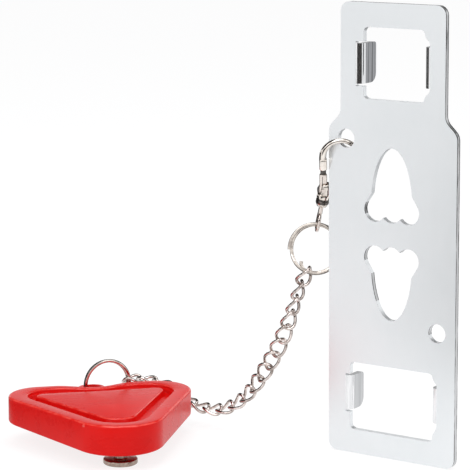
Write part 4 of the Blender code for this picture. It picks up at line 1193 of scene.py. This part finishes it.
def make_wedge(at, material, rim_highlight):
    """The wedge with its lug and the small nub on its front arc, its rim edges and nub paler as a painted
    highlight.
    """
    body = raised("wedge_shell", wedge_outlines(), at)
    cut(body, make_lug(at), "UNION")
    front_middle, front_radius = WEDGE_OUTLINE[:2]
    nub_at = at @ shifted(0, front_middle, WEDGE_THICKNESS - NUB_DROP) @ rotated(NUB_BEARING, "Z")
    nub_at = nub_at @ shifted(0, NUB_SUNK - front_radius, 0) @ rotated(pi / 2, "X")
    nub = [(NUB_RADIUS * across, NUB_RADIUS * out) for across, out in NUB_SHARES]
    cut(body, turned("nub", nub, 20, nub_at), "UNION")
    smooth(tidy(body), 38)
    dress(body, material, "wedge", "wedge_body")
    nub_middle = at.inverted() @ nub_at.translation

    # Painted highlight on the nub and on the rims' rounded top edges
    def has_painted_highlight(middle, facing):
        on_nub = (middle - nub_middle).length < NUB_RADIUS * 1.2
        on_rim = middle.z > WEDGE_THICKNESS - RIM_EDGE and RIM_HIGHLIGHT_FROM < facing.z < RIM_HIGHLIGHT_TO
        return on_nub or on_rim

    mark(body, at, rim_highlight, has_painted_highlight)


def make_stud(at, material):
    """The locking stud: a flat head with rounded rims on a neck that goes up into the wedge."""
    foot = -STUD_NECK_LENGTH
    low = foot - STUD_HEAD_HEIGHT
    r = STUD_HEAD_RADIUS
    profile = [(STUD_FACE_MIDDLE, low)] + [(r - inward, low) for inward in STUD_FACE_RINGS]
    profile += [(r - inward, low + STUD_BEVEL + step) for inward, step in STUD_EDGE]
    profile += [(r - inward, foot - step) for inward, step in reversed(STUD_EDGE)]
    profile += [(STUD_NECK_RADIUS + STUD_NECK_FILLET, foot), (STUD_NECK_RADIUS, foot + STUD_NECK_FILLET)]
    profile.append((STUD_NECK_RADIUS, STUD_SUNK))
    stud = smooth(turned("stud_pin", profile, 96, at), 40)
    dress(stud, material, "wedge", "locking_stud")


# Stage, lamps and camera

def rays(tree):
    """Whether a ray is a mirrored or passed one, and whether it comes from the camera."""
    kinds = ("Is Glossy Ray", "Is Transmission Ray", "Is Camera Ray")
    gloss, through, seen = (Thread(tree).node("ShaderNodeLightPath", output=kind) for kind in kinds)
    return gloss.maths("MAXIMUM", gloss, through), seen


def dark_screens(direction, screens):
    """Where dark screens stand round the object, by bearing and elevation."""
    level = direction.vector("MULTIPLY", (1, 1, 0)).vector("NORMALIZE")
    height = direction.parts()[2]
    total = None
    for bearing, width, *span in screens:
        toward = (sin(radians(bearing)), -cos(radians(bearing)), 0)
        edge = radians(width)
        near = level.vector("DOT_PRODUCT", toward, output="Value")
        screen = near.between(cos(edge + SCREEN_EDGE), cos(edge - SCREEN_EDGE))
        if span:
            low, high = (radians(angle) for angle in span)
            screen = screen * height.between(sin(low - SCREEN_EDGE), sin(low + SCREEN_EDGE))
            screen = screen * (1 - height.between(sin(high - SCREEN_EDGE), sin(high)))
        total = screen if total is None else total.maths("MAXIMUM", total, screen)
    return total


def pale_room():
    """A world that is white to the camera, white with dark screens in the metal, and grey as light."""
    world = bpy.data.worlds.new("studio")
    world.use_nodes = True
    tree = world.node_tree
    direction = Thread(tree).node("ShaderNodeTexCoord", output="Generated")
    shown, seen = rays(tree)
    mirrored = dark_screens(direction, WALL_SCREENS).mix((1, 1, 1, 1), (0.04, 0.038, 0.036, 1))
    colour = seen.mix(shown.mix((0.62, 0.62, 0.63, 1), mirrored), (1, 1, 1, 1))
    feed(tree, tree.nodes["Background"].inputs[0], colour)
    return world


def pale_floor():
    """A floor that is plain to soft rays, bright to the camera, and has dark screens for metal."""
    material = bpy.data.materials.new("pale_floor")
    material.use_nodes = True
    tree = material.node_tree
    start = Thread(tree)
    plain = start.node("ShaderNodeBsdfDiffuse", None, {"Color": (0.80, 0.80, 0.80, 1)})
    soft = start.node("ShaderNodeBsdfDiffuse", None, {"Color": (0.24, 0.24, 0.24, 1)})
    glow = start.node("ShaderNodeEmission", None, {"Color": (0.82, 0.82, 0.82, 1)})
    bright = start.node("ShaderNodeAddShader", None, {0: soft, 1: glow})
    dim = start.node("ShaderNodeEmission", None, {"Color": (0.05, 0.048, 0.046, 1)})
    shown, seen = rays(tree)
    place = start.node("ShaderNodeTexCoord", output="Object")
    far = place.vector("LENGTH", output="Value").between(*FLOOR_FADE)
    screens = dark_screens(place, FLOOR_SCREENS) * far
    shaded = start.node("ShaderNodeMixShader", None, {0: screens * (1 - seen), 1: bright, 2: dim})
    either = seen.maths("MAXIMUM", seen, shown)
    both = start.node("ShaderNodeMixShader", None, {0: either, 1: plain, 2: shaded})
    feed(tree, tree.nodes["Material Output"].inputs[0], both)
    tree.nodes.remove(tree.nodes["Principled BSDF"])
    return material


def add_lamp(name, place, width, height, power):
    """A soft lamp aimed at the object."""
    lamp = bpy.data.lights.new(name, "AREA")
    lamp.shape = "RECTANGLE"
    lamp.size = width
    lamp.size_y = height
    lamp.energy = power
    holder = new_piece(name, lamp)
    holder.location = place
    holder.rotation_euler = (LAMP_AIM - Vector(place)).to_track_quat("-Z", "Y").to_euler()


def studio():
    """The room, the floor, the lamps and the camera."""
    scene = bpy.context.scene
    scene.view_settings.view_transform = "Standard"
    scene.world = pale_room()

    place = (0, 0, cad_low.z - FLOOR_GAP)
    floor = primitive("floor", bpy.ops.mesh.primitive_plane_add, size=FLOOR_SIZE, location=place)
    floor.data.materials.append(pale_floor())

    for lamp in LAMPS:
        add_lamp(*lamp)

    camera = bpy.data.cameras.new("camera")
    camera.lens = LENS
    camera.sensor_width = SENSOR
    camera.clip_start = 0.01
    camera.clip_end = 20
    holder = new_piece("camera", camera)
    turn = rotated(CAMERA_AZIMUTH, "Z") @ rotated(pi / 2 - CAMERA_ELEVATION, "X")
    holder.matrix_world = Matrix.Translation(CAMERA_AT) @ turn @ rotated(CAMERA_ROLL, "Z")
    scene.camera = holder


def build():
    """Make every piece, each placed from the one that carries it."""
    cast = nickel("cast_nickel", (0.90, 0.84, 0.78, 1), (0.74, 0.67, 0.61, 1), 0.07, 0.00002)
    drawn = nickel("drawn_nickel", (0.80, 0.73, 0.68, 1), (0.66, 0.58, 0.54, 1), 0.10, 0.000004)
    linked = nickel("chain_nickel", (0.80, 0.715, 0.68, 1), (0.38, 0.325, 0.30, 1), 0.07, 0.000006)
    sprung = nickel("ring_nickel", (0.78, 0.715, 0.65, 1), (0.46, 0.41, 0.375, 1), 0.07, 0.000003)
    # Dark steel for the coil, the collar band and the gate's lever, and also painted shade on the gate's
    # tip and fold grooves and painted dark reflection on the rings' outer faces
    dark_steel_and_shade = nickel("spring_steel_and_painted_shade", (0.14, 0.125, 0.12, 1), (0.05, 0.045, 0.04, 1), 0.26, 0.00001)

    make_plate()
    snap_at = snap_frame()
    make_snap(snap_at, cast, dark_steel_and_shade)
    make_gate(snap_at, drawn, dark_steel_and_shade)
    make_rivet(snap_at, drawn)
    make_spring(snap_at, dark_steel_and_shade)
    make_eye(snap_at, drawn)

    section = flat_section()
    ring_turn = rotated(SNAP_TURN, "Z") @ rotated(pi / 2 - RING_TILT, "X")
    ring_top = snap_at @ Vector((0, 0, -EYE_DROP + EYE_TO_RING))
    hang = Vector((sin(RING_SWAY), cos(RING_SWAY), 0))
    upper_at = Matrix.Translation(ring_top - ring_turn.to_3x3() @ (hang * RING_RADIUS)) @ ring_turn
    names = ("upper_ring_coil", "upper_ring", "upper_split_ring")
    make_ring(names, upper_at, section, sprung, dark_steel_and_shade, RING_FLARE)

    wedge_at = Matrix.Translation(WEDGE_AT) @ rotated(WEDGE_TURN, "Z") @ rotated(WEDGE_LEAN, "Y")
    leg_side = LUG_SIDE - LUG_HOLE_RADIUS + RING_WIRE + STUD_SEAT_GAP
    leg = wedge_at @ Vector((leg_side, LUG_HOLE_BACK, WEDGE_THICKNESS - LUG_RING_DROP))
    heading = WEDGE_TURN + LUG_RING_HEADING
    outward = Vector((cos(heading), sin(heading), 0))
    lower_centre = leg + outward * RING_RADIUS
    lower_at = Matrix.Translation(lower_centre) @ rotated(heading, "Z") @ rotated(pi / 2, "X")
    names = ("lower_ring_coil", "lower_ring", "lower_split_ring")
    make_ring(names, lower_at, section, sprung, dark_steel_and_shade)
    bpy.data.objects.remove(section, do_unlink=True)

    spoke = Vector((cos(RING_CHAIN_ANGLE), sin(RING_CHAIN_ANGLE), 0))
    turn = upper_at.to_3x3()
    start = upper_at @ (spoke * RING_RADIUS) - turn @ spoke * (RING_WIRE + UPPER_LINK_GAP / 2)
    start += turn @ Vector((0, 0, UPPER_LINK_SHIFT))
    last_spoke = outward * cos(LUG_RING_LINK_ANGLE) + UP * sin(LUG_RING_LINK_ANGLE)
    end = lower_centre + last_spoke * (RING_RADIUS - RING_WIRE - RING_LINK_GAP / 2)
    touches, pitch = chain_places(start, end)
    make_chain(touches, pitch, linked)

    make_wedge(wedge_at, red_plastic(), painted_highlight_red())
    make_stud(wedge_at, turned_nickel(WEDGE_AT))
    studio()


build()
